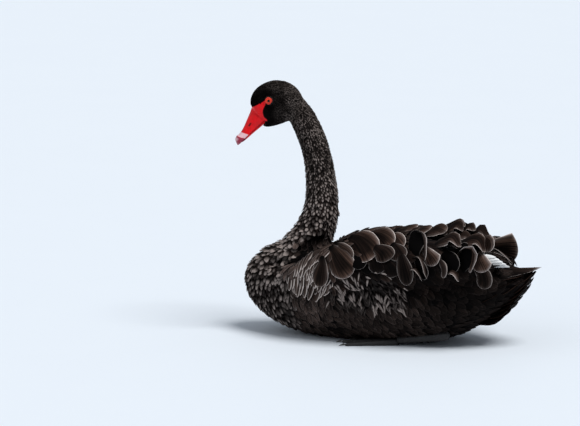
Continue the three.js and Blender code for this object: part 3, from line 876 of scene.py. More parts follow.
class Ground:
    """The skin that feathers grow from."""

    def __init__(self):
        self.tree, self.points, self.normals, self.triangles = skin_tree()
        a, b, c = (self.points[self.triangles[:, k]] for k in range(3))
        self.area = np.linalg.norm(np.cross(b - a, c - a), axis=1) / 2
        self.centres = (a + b + c) / 3

    def scatter(self, chosen, rng, tightness=1.0, stretch=1.0):
        """Roots spread over the chosen triangles, no two nearer than the coat's gap there, or than stretch
        times that gap up the neck. Four are tried for each gap's square."""
        faces = np.flatnonzero(chosen)
        _, measures = coat_at(self.centres[faces])
        gap = measures[:, 2] * tightness
        wanted = self.area[faces] / gap**2 * 4
        many = np.floor(wanted + rng.random(len(faces))).astype(int)
        faces, gap = np.repeat(faces, many), np.repeat(gap, many)
        weights = rng.dirichlet((1, 1, 1), len(faces))
        corners = self.triangles[faces]
        places = (self.points[corners] * weights[..., None]).sum(1)
        ups = unit((self.normals[corners] * weights[..., None]).sum(1))
        z = places[:, 2:]
        squashed = np.where(z < NECK_TOP, z / stretch, z - NECK_TOP * (1 - 1 / stretch))
        spread = np.concatenate([places[:, :2], squashed], 1)
        search = KDTree(len(places))
        for i, place in enumerate(spread.tolist()):
            search.insert(place, i)
        search.balance()
        free = np.ones(len(places), bool)
        kept = []
        for i in rng.permutation(len(places)).tolist():
            if not free[i]:
                continue
            kept.append(i)
            for _, j, _ in search.find_range(spread[i], gap[i]):
                free[j] = False
        return places[kept], ups[kept]

    def settle(self, points):
        """The nearest places of the skin and the directions outward there."""
        places, ups = np.empty_like(points), np.empty_like(points)
        for i, point in enumerate(points.tolist()):
            places[i], ups[i], _, _ = self.tree.find_nearest(point)
        return places, ups

    def outside(self, x, z, side):
        """The outermost places of the skin at x and z, and the directions outward there."""
        places, ups = np.empty((len(x), 3)), np.empty((len(x), 3))
        for i in range(len(x)):
            start = (x[i], -side * 300, z[i])
            places[i], ups[i], _, _ = self.tree.ray_cast(start, (0, side, 0))
        return places, ups

    def ribs(self, roots, ups, heading, length, height, stations):
        """Ribs that leave the skin at their roots and lie along it, their tips at the given height."""
        heading = unit(heading - ups * dot(heading, ups)[:, None])
        half = (length / 2)[:, None]
        middle, middle_up = self.settle(roots + heading * half)
        onward = unit(heading - middle_up * dot(heading, middle_up)[:, None])
        end, end_up = self.settle(middle + onward * half)
        return bowed((roots, middle, end), (ups, middle_up, end_up), height, stations)


def bowed(places, ups, height, stations):
    """Ribs through three places of the skin, rising to a height over the last."""
    (start, middle, end), (start_up, middle_up, end_up) = places, ups
    start = start - start_up * 0.5
    middle = middle + middle_up * (height * 0.62)[:, None]
    end = end + end_up * height[:, None]
    s = stations[None, :, None]
    line = start[:, None] * (1 - s) * (1 - 2 * s) + middle[:, None] * 4 * s * (1 - s)
    line = line + end[:, None] * s * (2 * s - 1)
    up = start_up[:, None] * (1 - s) + middle_up[:, None] * s * (1 - s) * 2 + end_up[:, None] * s
    return line, unit(up)


class Coat:
    """The vanes of one coat piece, gathered as arrays."""

    def __init__(self, spans=WHOLE_MAP):
        self.parts = []
        self.spans = spans

    def add(self, line, up, stations, half, sides, depth=0.25, cup=0.3, roll=2.0, ragged=0.0, wave=0.0,
            tone=0.5, pale=0.5, rng=None, patch=0.003, seats=None, painted_underside_shade=0.0):  # fmt: skip
        """Adds vanes along ribs. Half is each vane's half width at each station of its rib, and cup how far
        its edges bend down, as a share of that. Seats are the vanes' places on the map, and patch is their
        size there."""
        count, rings = len(line), len(stations) - 2
        along = unit(np.gradient(line, axis=1))
        across = unit(np.cross(up, along))
        normal = np.cross(along, across)
        angle = np.arange(sides) * 2 * math.pi / sides
        c, n = np.cos(angle), np.sin(angle)
        reach = half[:, 1:-1, None] * c
        if ragged:
            reach = reach * (1 + ragged * rng.normal(size=reach.shape) * (np.abs(c) > 0.6))
        tone, pale, cup, depth = (np.broadcast_to(v, count).astype(float) for v in (tone, pale, cup, depth))
        widest = np.maximum(half.max(1), 1e-6)[:, None, None]
        lift = depth[:, None, None] * n - cup[:, None, None] * widest * np.abs(reach / widest) ** roll
        if np.any(wave):
            swing = np.sin(stations[None, 1:-1, None] * 13 + tone[:, None, None] * 40 + np.sign(c) * 1.3)
            lift = lift + np.broadcast_to(wave, count)[:, None, None] * swing * np.abs(c) ** 2
        inner = slice(1, -1)
        rim = line[:, inner, None] + across[:, inner, None] * reach[..., None]
        rim = rim + normal[:, inner, None] * lift[..., None]
        points = np.concatenate([line[:, :1], rim.reshape(count, -1, 3), line[:, -1:]], 1)
        length = np.linalg.norm(np.diff(line, axis=1), axis=2).sum(1)
        s = np.broadcast_to(stations[None, inner, None], reach.shape)
        margin = np.minimum(half[:, inner, None] * (1 - np.abs(c)), (1 - s) * length[:, None, None])
        barb = s * length[:, None, None] - 0.8 * np.abs(reach)
        ray = reach / (s * length[:, None, None] + 0.35 * length[:, None, None])
        # Marks the vanes' lower sides, which the finish paints nearly black as painted shade.
        under = np.broadcast_to((n < -0.01) * 1.0, reach.shape)

        def whole(values, first, last):
            ends = np.broadcast_to(first, count)[:, None], np.broadcast_to(last, count)[:, None]
            return np.concatenate([ends[0], values.reshape(count, -1), ends[1]], 1).ravel()

        if seats is None:
            roots = points[:, 0]
            seats = map_place(roots, chart_of(roots), self.spans)
        u = seats[:, :1] + patch * 0.5 * whole(np.broadcast_to(c, reach.shape), 0, 0).reshape(count, -1)
        v = seats[:, 1:] + patch * (whole(s, 0, 1).reshape(count, -1) - 0.5)
        loops, counts = ring_faces(rings, sides)
        size = points.shape[1]
        self.parts.append(
            {
                "points": points.reshape(-1, 3),
                "loops": (loops[None] + np.arange(count)[:, None] * size),
                "counts": np.tile(counts, count),
                "tip": whole(s, 0, 1),
                "margin": whole(margin, margin.max(initial=0), 0),
                "barb": whole(barb, 0, length),
                "ray": whole(ray, 0, 0),
                "under": whole(under * painted_underside_shade, 0, 0),
                "tone": np.repeat(tone, size),
                "pale": np.repeat(pale, size),
                "rim": np.tile(np.concatenate([[True], np.tile(np.abs(c) > 0.999, rings), [True]]), count),
                "uv": np.stack([u.ravel(), v.ravel()], 1),
            }
        )

    def piece(self, name, material, slot, *nodes):
        """Makes the mesh of all the vanes and gives it its finish."""
        offset, loops = 0, []
        for part in self.parts:
            loops.append((part["loops"] + offset).ravel())
            offset += len(part["points"])
        gathered = {k: np.concatenate([p[k] for p in self.parts]) for k in self.parts[0] if k != "loops"}
        points = gathered["points"]
        low = points[:, 2] < 1  # these are pressed flat, so that none passes under the floor
        points[low, 2] = np.exp(points[low, 2] - 1)
        corners = np.concatenate(loops)
        o = mesh_of(name, points, corners, gathered["counts"])
        for word in ("tip", "margin", "barb", "ray", "under", "tone", "pale"):
            store(o, word, gathered[word])
        layer = o.data.uv_layers.new(name="OFBake")
        layer.data.foreach_set("uv", np.clip(gathered["uv"][corners], 0, 1).astype(np.float32).ravel())
        crease = gathered["rim"][read(o.data.edges, "vertices", 2, np.int32)].all(1)
        o.data.attributes.new("sharp_edge", "BOOLEAN", "EDGE").data.foreach_set("value", crease)
        finish_piece(o, material, slot, *nodes)


TUFT = np.array((0, 0.3, 0.66, 0.9, 1))  # stations along a short tuft
FEATHER = np.array((0, 0.15, 0.38, 0.6, 0.76, 0.88, 0.96, 1))  # along a small feather
VANE = np.array((0, 0.05, 0.13, 0.22, 0.32, 0.42, 0.52, 0.62, 0.71, 0.79, 0.86, 0.915, 0.955, 0.985, 1))


def outline(stations, width, blunt, fan=0.0):
    """Half widths of vanes along their length. Blunt 1 gives a round end, 0 a point; fan puts the broadest
    part nearer the end, and fan 1 gives a sector of a circle."""
    blunt, fan = (np.broadcast_to(v, len(width))[:, None] for v in (blunt, fan))
    s = stations[None]
    swell = 0.3 + 0.7 * smooth(s, 0, 0.4 + 0.4 * fan)
    start = 0.35 + 0.2 * blunt + 0.25 * fan
    fall = np.clip((s - start) / (1 - start), 0, 1)
    end = (1 - blunt) * (1 - fall**1.5) + blunt * np.sqrt(1 - fall**2)
    corner = 0.8
    arc = np.sqrt(1 - np.clip((s**2 - corner**2) / (1 - corner**2), 0, 1))
    sector = np.where(s < corner, 0.2 + 0.8 * s / corner, arc)
    return width[:, None] / 2 * np.where(fan > 0.98, sector, swell * end)


def clumped(roots, lie, length, rng):
    """Lies that draw the tips of neighbouring tufts together, and one tone for each bunch."""
    tips = roots + lie * length[:, None]
    heads = tips[rng.random(len(tips)) < 0.16]
    search = KDTree(len(heads))
    for i, head in enumerate(heads.tolist()):
        search.insert(head, i)
    search.balance()
    found = [search.find(tip)[:2] for tip in tips.tolist()]
    drawn = np.array([place for place, _ in found])
    tone = rng.random(len(heads))[[i for _, i in found]]
    return unit(tips * 0.4 + drawn * 0.6 - roots), tone


def grow(coat, ground, chosen, rng, stations, sides_round, tightness=1.0, ragged=0.05, keep=None, fluff=None,
         stretch=1.0, **looks):  # fmt: skip
    """Grows feathers over the chosen triangles of the skin, as the coat's rows say. Fluff is one length,
    width, height and pale for loose tufts, whose tips are drawn together."""
    roots, ups = ground.scatter(chosen, rng, tightness, stretch)
    if keep is not None:
        some = keep(roots)
        roots, ups = roots[some], ups[some]
    lie, measures = coat_at(roots)
    length, width, _, height, pale = measures.T
    count = len(roots)
    tone = rng.random(count)
    if fluff is not None:
        length, width, height, pale = (np.full(count, float(v)) for v in fluff)
    # Painted shade: tufts in and beside the fold before a folded wing lose their pale tips and tone.
    shade = np.maximum(crevice(roots), crevice(roots + lie * length[:, None]))
    pale, tone = pale * (1 - shade), tone * (1 - shade)
    length = length * rng.uniform(0.82, 1.15, count)
    lie = unit(lie - ups * dot(lie, ups)[:, None])
    turn = rng.normal(0, sizes().lie_scatter * (1 if fluff is None else 2.2), count)[:, None]
    lie = lie * np.cos(turn) + np.cross(ups, lie) * np.sin(turn)
    if fluff is not None:
        lie, tone = clumped(roots, lie, length, rng)
    width = width * rng.uniform(0.82, 0.98, count) * (1 + 0.25 * tone)
    height = height * rng.uniform(0.85, 1.0, count) * (0.7 + 0.55 * tone)
    line, up = ground.ribs(roots, ups, lie, length, height, stations)
    up = unit(up + rng.normal(0, 0.06, (count, 1, 3)))
    half = outline(stations, width, np.clip((width - 2) / 6, 0.3, 0.95))
    coat.add(line, up, stations, half, sides_round, ragged=ragged, tone=tone, pale=pale, rng=rng, **looks)


# Narrow feathers at the front of a folded wing: rows, the gap along a row, how far each row lies below the
# last, and places along the edge with the degrees that a feather hangs below level there
SHINGLE_ROWS, SHINGLE_GAP, SHINGLE_DROP = 7, 7.4, 11
SHINGLE_FALL = (115, 145, 180, 205), (76, 70, 52, 38)


def shingles(coat, ground, side, rng):
    """Long narrow feathers along the front edge of a folded wing, in rows lapped like tiles, which hang the
    steeper the farther forward they are."""
    starts = []
    for row in range(SHINGLE_ROWS):
        for x in np.arange(120, 207, SHINGLE_GAP) + SHINGLE_GAP / 2 * (row % 2):
            z = WING_EDGE(x) - 2 - SHINGLE_DROP * row
            if z > 124 - 3 * row:
                starts.append((x + 1.5 * row, z, row))
    starts = np.array(starts) + rng.normal(0, (0.5, 0.5, 0), (len(starts), 3))
    x, z, row = starts[np.argsort(-starts[:, 2], kind="stable")].T
    count = len(row)
    angle = np.radians(np.interp(x - 4 * row, *SHINGLE_FALL)) + rng.normal(0, 0.05, count)
    length = rng.uniform(26, 32, count) + 3 * np.minimum(row, 2)
    places, ups = [], []
    for share in (0, 0.5, 1):
        bend = angle + share * 0.2
        across, down = length * share * np.cos(bend), length * share * np.sin(bend)
        place, up = ground.outside(x - across, z - down, side)
        out = np.maximum(-side * place[:, 1], WING_OUT(x - across) + 2 * row)
        up = unit(unit(up * (0.4, 1, 1)) + np.array((-0.2, -0.8 * side, 0.3)))
        places.append(np.stack([x - across, -side * out, z - down], 1) + up * (2 + 2 * share))
        ups.append(up)
    line, up = bowed(places, ups, 0 * row, FEATHER)
    sideways = unit(np.cross(np.gradient(line, axis=1), up)) * side
    half = outline(FEATHER, rng.uniform(7.5, 9, count) + 0.6 * row, 0.9)
    coat.add(line, unit(up + 0.25 * sideways), FEATHER, half, 8, depth=0.35, cup=0.25, ragged=0.02,
             tone=rng.uniform(0.3, 1, count), pale=1.0, rng=rng)  # fmt: skip


@cache
def the_ground():
    """The skin's search tree, made once."""
    return Ground()


class SWAN_OT_neck_coat(bpy.types.Operator):
    """Short tufts of the head, neck and breast, smallest round the eyes and the bill"""

    bl_idname = "swan.neck_coat"
    bl_label = "Head, neck and breast"

    def execute(self, context):
        material = tufted("tufted plumage")
        g = the_ground()
        for name, side in SIDES:
            rng = np.random.default_rng(11 if side > 0 else 12)
            coat = Coat(FRONT_SPANS)
            beside = (middle_of(g.centres) - g.centres[:, 1]) * side > 0
            chosen = beside & small_coat(g.centres) & (lore(g.centres) < 0.6)
            grow(coat, g, chosen, rng, TUFT, 4, 0.8, 0.2, keep=clear_of_bare, stretch=1.65, depth=0.3)
            grow(coat, g, beside & behind_neck(g.centres), rng, TUFT, 4, fluff=(15, 4.2, 7.5, 0.8), depth=0.3)
            coat.piece(f"coat_front_{name}", material, "plumage")
        return {"FINISHED"}


def middle_of(points):
    """How far the middle plane lies to the bird's right: the turned head has its own."""
    return np.where(on_head(points) > 0.5, (points[:, 0] - HEAD_PIVOT[0]) * math.tan(HEAD_TURN), 0)


def small_coat(points):
    """Where the coat is of short tufts: head, neck and breast."""
    x, z = points[:, 0], points[:, 2]
    wing = in_wing(points)
    breast = (x < 118) & (z > 20)
    return (((z > 186) & (x < 195)) | breast) & ~wing


def behind_neck(points):
    """Where loose tufts stand off behind the base of the neck."""
    x, _, z = points.T
    return (z > 184) & (z < 240) & (x < 200) & (x > np.interp(z, (184, 240), (156, 166)))


def shoulder(points):
    """The front of a folded wing, where the lapped narrow feathers lie."""
    x, _, z = points.T
    return (x < 196) & (z > 104)


def in_wing(points):
    """Whether places of the skin lie on a folded wing's mass."""
    x = np.clip(points[:, 0], WING_FRONT, WING_REAR)
    middle = (wing_out(x) + wing_in(x)) / 2, (wing_top(x) + wing_low(x)) / 2
    half = (wing_out(x) - wing_in(x)) / 2, (wing_top(x) - wing_low(x)) / 2
    across = (np.abs(points[:, 1]) - middle[0]) / np.maximum(half[0], 1)
    height = (points[:, 2] - middle[1]) / np.maximum(half[1], 1)
    near = np.abs(across) ** 2.3 + np.abs(height) ** 2.3
    return (points[:, 0] > WING_FRONT + 2) & (points[:, 0] < WING_REAR - 2) & (near > 0.55) & (near < 1.3) & (
        points[:, 2] > wing_low(x) + 1
    )


def clear_of_bare(roots):
    """Leaves out roots in the bare face, on the eyes and under the bill."""
    ring, there = eye_ring(roots)
    out, rise, left = in_bill(roots).T
    billed = (out > -2) & (np.abs(left) < 15) & (roots[:, 2] > 330) & (np.abs(rise + 1) < 15)
    return (lore(roots) < 0.5) & ~((ring < 8.3) & there) & ~billed


def fluffy(points):
    """Where loose tufts hang from under a folded wing."""
    x, _, z = points.T
    under_wing = z < np.interp(x, (200, 225, 250, 300, 330), (112, 134, 147, 151, 134))
    return (x > 190 + (118 - z) * 0.4) & (x < 336) & (z > 78) & under_wing & (np.abs(points[:, 1]) > 80)


class SWAN_OT_body_coat(bpy.types.Operator):
    """Feathers of the flanks, belly, back and rump"""

    bl_idname = "swan.body_coat"
    bl_label = "Body"

    def execute(self, context):
        material = plumage("body plumage", 1.2, glow=0.45)
        loose = tufted("loose plumage", 1.7)
        g = the_ground()
        for name, side in SIDES:
            rng = np.random.default_rng(21 if side > 0 else 22)
            coat = Coat()
            beside = -g.centres[:, 1] * side > 0
            loosely = fluffy(g.centres)
            chosen = beside & ~small_coat(g.centres) & ~in_wing(g.centres) & ~loosely
            grow(coat, g, chosen, rng, FEATHER, 6, depth=0.35)
            coat.piece(f"coat_body_{name}", material, "plumage")
            coat = Coat()
            grow(coat, g, beside & loosely, rng, FEATHER, 6, 0.7, 0.14, fluff=(22, 4.4, 10, 1.5), depth=0.3)
            coat.piece(f"coat_loose_{name}", loose, "plumage")
        return {"FINISHED"}


class SWAN_OT_wing_coat(bpy.types.Operator):
    """Coverts of the folded wings, narrow in front and broad behind"""

    bl_idname = "swan.wing_coat"
    bl_label = "Wing coverts"

    def execute(self, context):
        c = colours()
        material = plumage("covert plumage", 1.0, tuple(c.fringe), 0.2)
        # The shoulders' rims are brighter than the rim colour itself: a painted highlight.
        shoulder_material = plumage("shoulder plumage", 2.1, tuple(1.4 * v for v in c.rim), 0.8)
        g = the_ground()
        for name, side in SIDES:
            rng = np.random.default_rng(31 if side > 0 else 32)
            coat = Coat()
            beside = -g.centres[:, 1] * side > 0
            others = small_coat(g.centres) | fluffy(g.centres) | shoulder(g.centres)
            chosen = beside & in_wing(g.centres) & ~others
            grow(coat, g, chosen, rng, FEATHER, 8, depth=0.35)
            coat.piece(f"coat_wing_{name}", material, "plumage")
            coat = Coat()
            shingles(coat, g, side, rng)
            coat.piece(f"coat_shoulder_{name}", shoulder_material, "plumage")
        return {"FINISHED"}


# Large feathers, by rows: four places (x, outward, z) along the rib, the way across, (width, tone, fan)
WING_FEATHERS = (
    (((190, 112, 166), (193, 121, 152), (190, 123, 134), (184, 115, 108)), (1, 0.1, 0), (31, 0.5, 0.5)),
    (((196, 90, 178), (213, 110, 170), (231, 127, 154), (247, 125, 132)), (0.6, -0.1, 0.8), (52, 1.15, 0.5)),
    (((208, 90, 186), (226, 108, 184), (242, 116, 178), (253, 121, 168)), (0.5, -0.2, 0.8), (17, 0.6, 0.2)),
    (((224, 66, 192), (246, 88, 195), (268, 108, 186), (288, 122, 166)), (0.5, -0.42, 0.8), (60, 1.3, 0.4)),
    (((246, 100, 178), (256, 116, 168), (264, 123, 158), (268, 124, 147)), (0.9, -0.1, 0.4), (34, 0.0, 0.3)),
    (((260, 58, 199), (280, 76, 204), (300, 92, 200), (319, 103, 187)), (0.5, -0.45, 0.8), (46, 1.4, 0.3)),
    (((284, 106, 188), (300, 114, 184), (312, 121, 178), (320, 124, 166)), (0.85, -0.2, 0.5), (38, 0.35, 0.8)),
    (((304, 68, 203), (316, 82, 203), (328, 94, 197), (338, 103, 186)), (0.5, -0.45, 0.8), (32, 1.3, 0.4)),
    (((318, 98, 194), (328, 108, 188), (336, 116, 180), (342, 120, 168)), (0.85, -0.2, 0.5), (34, 0.3, 0.6)),
    (((286, 112, 174), (294, 120, 164), (300, 124, 154), (304, 124, 142)), (1, 0.0, 0.2), (34, 0.1, 0.5)),
    (((310, 112, 170), (318, 121, 160), (326, 124, 150), (330, 123, 136)), (1, 0.0, 0.2), (34, 0.1, 0.5)),
)
FAR_WING_FEATHERS = (
    (((204, 62, 168), (222, 62, 178), (240, 62, 182), (256, 62, 183)), (0, 1, 0.25), (36, 1.2, 0.4)),
    (((236, 60, 180), (254, 60, 189), (272, 60, 193), (287, 60, 194)), (0, 1, 0.25), (36, 1.3, 0.4)),
    (((276, 50, 186), (292, 50, 196), (307, 50, 200), (319, 50, 200)), (0, 1, 0.25), (36, 1.3, 0.4)),
    (((316, 32, 189), (331, 31, 199), (342, 30, 203), (352, 30, 203)), (0, 1, 0.3), (36, 1.2, 0.4)),
    (((340, 14, 184), (356, 12, 200), (372, 10, 208), (388, 10, 203)), (0, 1, 0.6), (36, 0.8, 0.5)),
    (((356, 34, 190), (372, 30, 202), (388, 26, 206), (402, 24, 200)), (0, 1, 0.6), (34, 0.6, 0.5)),
    (((213, 84, 177), (230, 101, 173), (246, 114, 164), (260, 120, 149)), (0.5, -0.4, 0.8), (44, 0.8, 0.3)),
    (((258, 86, 181), (276, 103, 177), (292, 116, 168), (306, 121, 153)), (0.5, -0.4, 0.8), (42, 0.7, 0.3)),
    (((302, 88, 182), (320, 103, 177), (334, 114, 168), (346, 119, 153)), (0.5, -0.4, 0.8), (40, 0.6, 0.3)),
    (((236, 110, 162), (246, 119, 152), (254, 122, 138), (260, 121, 122)), (0.9, 0.0, 0.3), (42, 0.3, 0.4)),
    (((294, 112, 162), (304, 120, 150), (312, 122, 136), (318, 120, 122)), (0.9, 0.0, 0.3), (42, 0.2, 0.4)),
)

# Large curled feathers, in the same way: raised domes, hoods and hanging fans, from the front to the rear
LEFT_CURLS = (
    (((336, 108, 186), (346, 122, 170), (353, 127, 147), (354, 118, 122)), (1, 0, 0.15), (30, 0.2, 0.5)),
    (((362, 112, 172), (376, 115, 177), (389, 121, 163), (392, 117, 136)), (0.25, 1, 0.05), (24, 0.4, 0.3)),
    (((364, 108, 172), (374, 116, 168), (382, 119, 153), (387, 116, 134)), (1, 0.3, 0), (24, 0.0, 0.4)),
    (((356, 112, 150), (374, 124, 156), (381, 124, 147), (384, 119, 134)), (0.25, 1, 0.05), (22, 0.3, 0.3)),
    (((371, 112, 168), (367, 108, 187), (363, 97, 205), (363, 90, 220)), (1, 0.3, 0), (35, 0.0, 0.4)),
    (((362, 92, 217), (377, 100, 217), (383, 104, 203), (386, 113, 168)), (0.7, 0.8, 0.1), (13, 0.9, 0.2)),
    (((378, 92, 190), (391, 110, 182), (401, 119, 173), (408, 119, 162)), (0.8, 0.1, 0.6), (35, 1.25, 1.0)),
    (((408, 100, 172), (419, 111, 164), (423, 114, 153), (421, 112, 139)), (1, 0.3, 0.1), (14, 0.4, 0.3)),
    (((424, 100, 146), (438, 109, 154), (447, 107, 147), (447, 100, 134)), (0.2, 0.95, -0.25), (24, 0.7, 0.2)),
    (((449, 92, 146), (454, 97, 162), (459, 97, 177), (462, 94, 194)), (1, 0.3, 0), (36, 0.0, 0.5)),
    (((434, 86, 178), (453, 98, 195), (474, 103, 190), (468, 102, 150)), (0.62, 0.75, -0.12), (24, 1.0, 0.1)),
    (((384, 66, 186), (410, 80, 203), (431, 88, 212), (449, 98, 195)), (0.1, 0.85, -0.45), (32, 0.9, 0.1)),
    (((432, 70, 184), (456, 80, 206), (480, 86, 210), (493, 92, 187)), (0.1, 0.85, -0.45), (38, 0.9, 0.1)),
    (((466, 60, 180), (482, 70, 206), (494, 76, 202), (492, 80, 185)), (1, 0.1, 0.6), (26, 0.7, 0.6)),
    (((464, 70, 182), (478, 92, 176), (485, 97, 164), (489, 93, 150)), (1, 0.2, 0.3), (44, 1.6, 1.0)),
    (((466, 80, 158), (484, 90, 152), (490, 89, 137), (486, 86, 119)), (1, 0.2, 0.2), (32, 0.25, 0.6)),
    (((413, 86, 186), (425, 101, 176), (433, 107, 164), (437, 106, 148)), (1, 0.3, 0.2), (36, 0.0, 0.5)),
    (((470, 56, 174), (497, 60, 189), (518, 58, 180), (536, 52, 157)), (0.1, 1, 0.5), (13, 0.25, 0.0)),
    (((474, 58, 174), (502, 62, 182), (519, 60, 177), (532, 56, 160)), (0.1, 1, 0.3), (6, 0.9, 0.0)),
    (((482, 54, 184), (495, 62, 208), (500, 64, 210), (504, 66, 203)), (0.1, 0.9, -0.2), (15, 0.7, 0.2)),
    (((400, 60, 188), (416, 64, 200), (430, 68, 198), (438, 72, 184)), (0.1, 0.9, -0.4), (34, 0.4, 0.2)),
    (((440, -40, 168), (466, -38, 170), (492, -38, 170), (515, -40, 168)), (-0.1, 0.15, 1), (58, 1.25, 1.0)),
)
RIGHT_CURLS = (
    (((346, 34, 190), (376, 32, 204), (404, 30, 218), (416, 30, 209)), (-0.1, 0.8, 0.4), (30, 0.5, 0.1)),
    (((378, 24, 186), (392, 20, 209), (408, 16, 216), (417, 14, 203)), (-0.1, 0.8, 0.4), (36, 0.7, 0.2)),
    (((398, 36, 186), (414, 36, 205), (424, 34, 211), (434, 30, 202)), (-0.1, 0.8, 0.4), (30, 0.5, 0.1)),
    (((420, 36, 180), (436, 36, 204), (446, 34, 208), (462, 30, 192)), (-0.1, 0.8, 0.4), (30, 0.3, 0.1)),
    (((398, 14, 186), (412, 12, 197), (424, 12, 199), (434, 14, 190)), (-0.1, 0.8, 0.4), (26, 0.6, 0.2)),
    (((426, 16, 180), (440, 14, 192), (454, 14, 194), (468, 18, 180)), (-0.1, 0.8, 0.4), (30, 0.4, 0.2)),
    (((362, 86, 172), (381, 102, 176), (392, 112, 162), (394, 112, 132)), (0, 1, 0), (34, 0.3, 0.2)),
    (((368, 104, 172), (378, 112, 184), (388, 112, 176), (392, 116, 150)), (0.8, 0.3, 0.4), (30, 0.6, 0.8)),
    (((396, 86, 174), (414, 94, 188), (430, 98, 176), (432, 104, 142)), (0, 1, 0), (38, 0.5, 0.2)),
    (((400, 92, 168), (412, 106, 164), (418, 112, 150), (418, 110, 128)), (1, 0.2, 0.2), (34, 0.3, 0.8)),
    (((434, 76, 170), (454, 84, 184), (476, 88, 174), (472, 92, 142)), (0, 1, 0), (40, 0.6, 0.2)),
    (((424, 88, 146), (440, 100, 152), (452, 100, 144), (452, 96, 126)), (0, 1, 0), (30, 0.5, 0.2)),
    (((440, 76, 172), (456, 88, 174), (464, 92, 160), (464, 90, 140)), (1, 0.2, 0.25), (36, 0.6, 0.8)),
    (((450, 78, 156), (464, 86, 148), (470, 86, 134), (466, 82, 116)), (1, 0.2, 0.2), (32, 0.25, 0.6)),
    (((388, 44, 174), (402, 46, 188), (412, 47, 199), (420, 48, 208)), (1, 0, 0), (44, 0.1, 0.4)),
    (((404, 46, 170), (414, 47, 184), (422, 47, 195), (428, 48, 203)), (1, 0, 0), (40, 0.1, 0.4)),
    (((428, 46, 168), (436, 47, 180), (444, 47, 190), (448, 48, 198)), (1, 0, 0), (42, 0.1, 0.4)),
    (((452, 44, 160), (460, 45, 170), (466, 45, 178), (470, 46, 186)), (1, 0, 0), (40, 0.1, 0.4)),
)

# Large feathers under the tail, in the same way; their low tones are painted shade under the tail.
VENT_FEATHERS = (
    (((470, 8, 84), (500, 8, 92), (526, 7, 108), (548, 5, 126)), (0.2, 1, 0), (34, 0.1, 0.2)),
    (((468, 30, 92), (498, 31, 98), (524, 28, 112), (545, 22, 127)), (0.2, 1, 0.3), (36, 0.15, 0.2)),
    (((474, 46, 104), (500, 44, 109), (522, 38, 118), (540, 30, 129)), (0.1, 1, 0.8), (28, 0.1, 0.2)),
    (((492, 12, 98), (518, 12, 110), (540, 10, 126), (558, 8, 140)), (0.2, 1, 0), (30, 0.3, 0.2)),
    (((492, 30, 110), (516, 29, 120), (536, 25, 132), (553, 19, 142)), (0.1, 0.8, 0.5), (30, 0.3, 0.2)),
    (((486, 42, 122), (508, 40, 127), (528, 34, 132), (546, 27, 136)), (0.1, 1, 0.4), (22, 0.2, 0.2)),
    (((480, 12, 104), (510, 12, 110), (536, 12, 120), (559, 11, 138)), (0.2, 1, 0.2), (26, 0.15, 0.2)),
    (((480, 14, 92), (508, 14, 97), (532, 13, 108), (554, 11, 127)), (0.2, 1, 0.2), (30, 0.15, 0.2)),
    (((474, 14, 82), (502, 14, 86), (527, 13, 97), (549, 11, 115)), (0.2, 1, 0.2), (32, 0.15, 0.2)),
    (((464, 14, 74), (492, 14, 77), (517, 13, 86), (541, 12, 103)), (0.2, 1, 0.2), (34, 0.1, 0.2)),
    (((456, 14, 66), (484, 14, 67), (509, 13, 75), (533, 12, 92)), (0.2, 1, 0.2), (36, 0.1, 0.2)),
    (((446, 14, 56), (474, 14, 55), (500, 13, 62), (524, 12, 80)), (0.2, 1, 0.2), (38, 0.1, 0.2)),
    (((430, 14, 44), (460, 14, 42), (486, 13, 48), (511, 12, 66)), (0.2, 1, 0.2), (40, 0.1, 0.2)),
    (((440, 52, 74), (466, 54, 82), (490, 48, 94), (512, 40, 108)), (0.2, 1, 0.5), (34, 0.05, 0.2)),
)


def rib(places, side, stations):
    """A smooth rib through places given as (x, outward, z)."""
    places = np.array(places, float) * (1, -side, 1)
    share = np.concatenate([[0], np.cumsum(np.linalg.norm(np.diff(places, axis=0), axis=1))])
    curve = [through(*zip(share / share[-1], column)) for column in places.T]
    fine = np.stack([axis(np.linspace(0, 1, 80)) for axis in curve], 1)
    run = np.concatenate([[0], np.cumsum(np.linalg.norm(np.diff(fine, axis=0), axis=1))])
    return np.stack([np.interp(stations, run / run[-1], column) for column in fine.T], 1)


def curled(rows, side, stations):
    """Ribs, upward directions and widths of large feathers; the upper side faces up or outward."""
    line = np.array([rib(places, side, stations) for places, _, _ in rows])
    hint = np.array([across for _, across, _ in rows], float)[:, None] * (1, -side, 1)
    along = unit(np.gradient(line, axis=1))
    across = unit(hint - along * dot(along, hint)[..., None])
    up = np.cross(along, across)
    crest = len(stations) // 2
    facing = dot(up[:, crest], np.array((0, -0.7 * side, 1.0)))
    up *= np.sign(facing)[:, None, None]
    return line, up, np.array([looks for _, _, looks in rows], float).T


def large_feathers(name, rows, side, material, seed, painted_underside_shade=1.0, **looks):
    """A piece of large feathers from rows, each feather with its own place on the map."""
    coat = Coat()
    line, up, (width, tone, fan) = curled(rows, side, VANE)
    half = outline(VANE, width, 0.97, fan)
    seats, step = atlas(len(rows))
    coat.add(line, up, VANE, half, 20, depth=0.45, ragged=0.01, tone=tone, pale=1.0,
             rng=np.random.default_rng(seed), patch=0.9 * step, seats=seats, painted_underside_shade=painted_underside_shade,
             **looks)  # fmt: skip
    coat.piece(name, material, "plumage")


class SWAN_OT_curled_feathers(bpy.types.Operator):
    """Large curled feathers over the rear of the wings"""

    bl_idname = "swan.curled_feathers"
    bl_label = "Curled feathers"

    def execute(self, context):
        material = plumage("curled plumage", 1.7, tuple(colours().rim), 1.0, 0.0002)
        looks = {"cup": 0.3, "roll": 3.0, "wave": 0.8}
        for (name, side), rows in zip(SIDES, (LEFT_CURLS, RIGHT_CURLS)):
            # How strongly the curled feathers' lower sides are darkened as painted shade, on each side.
            under = 1.0 if side > 0 else 0.8
            large_feathers(f"curled_feathers_{name}", rows, side, material, 41 + side, under, **looks)
        return {"FINISHED"}


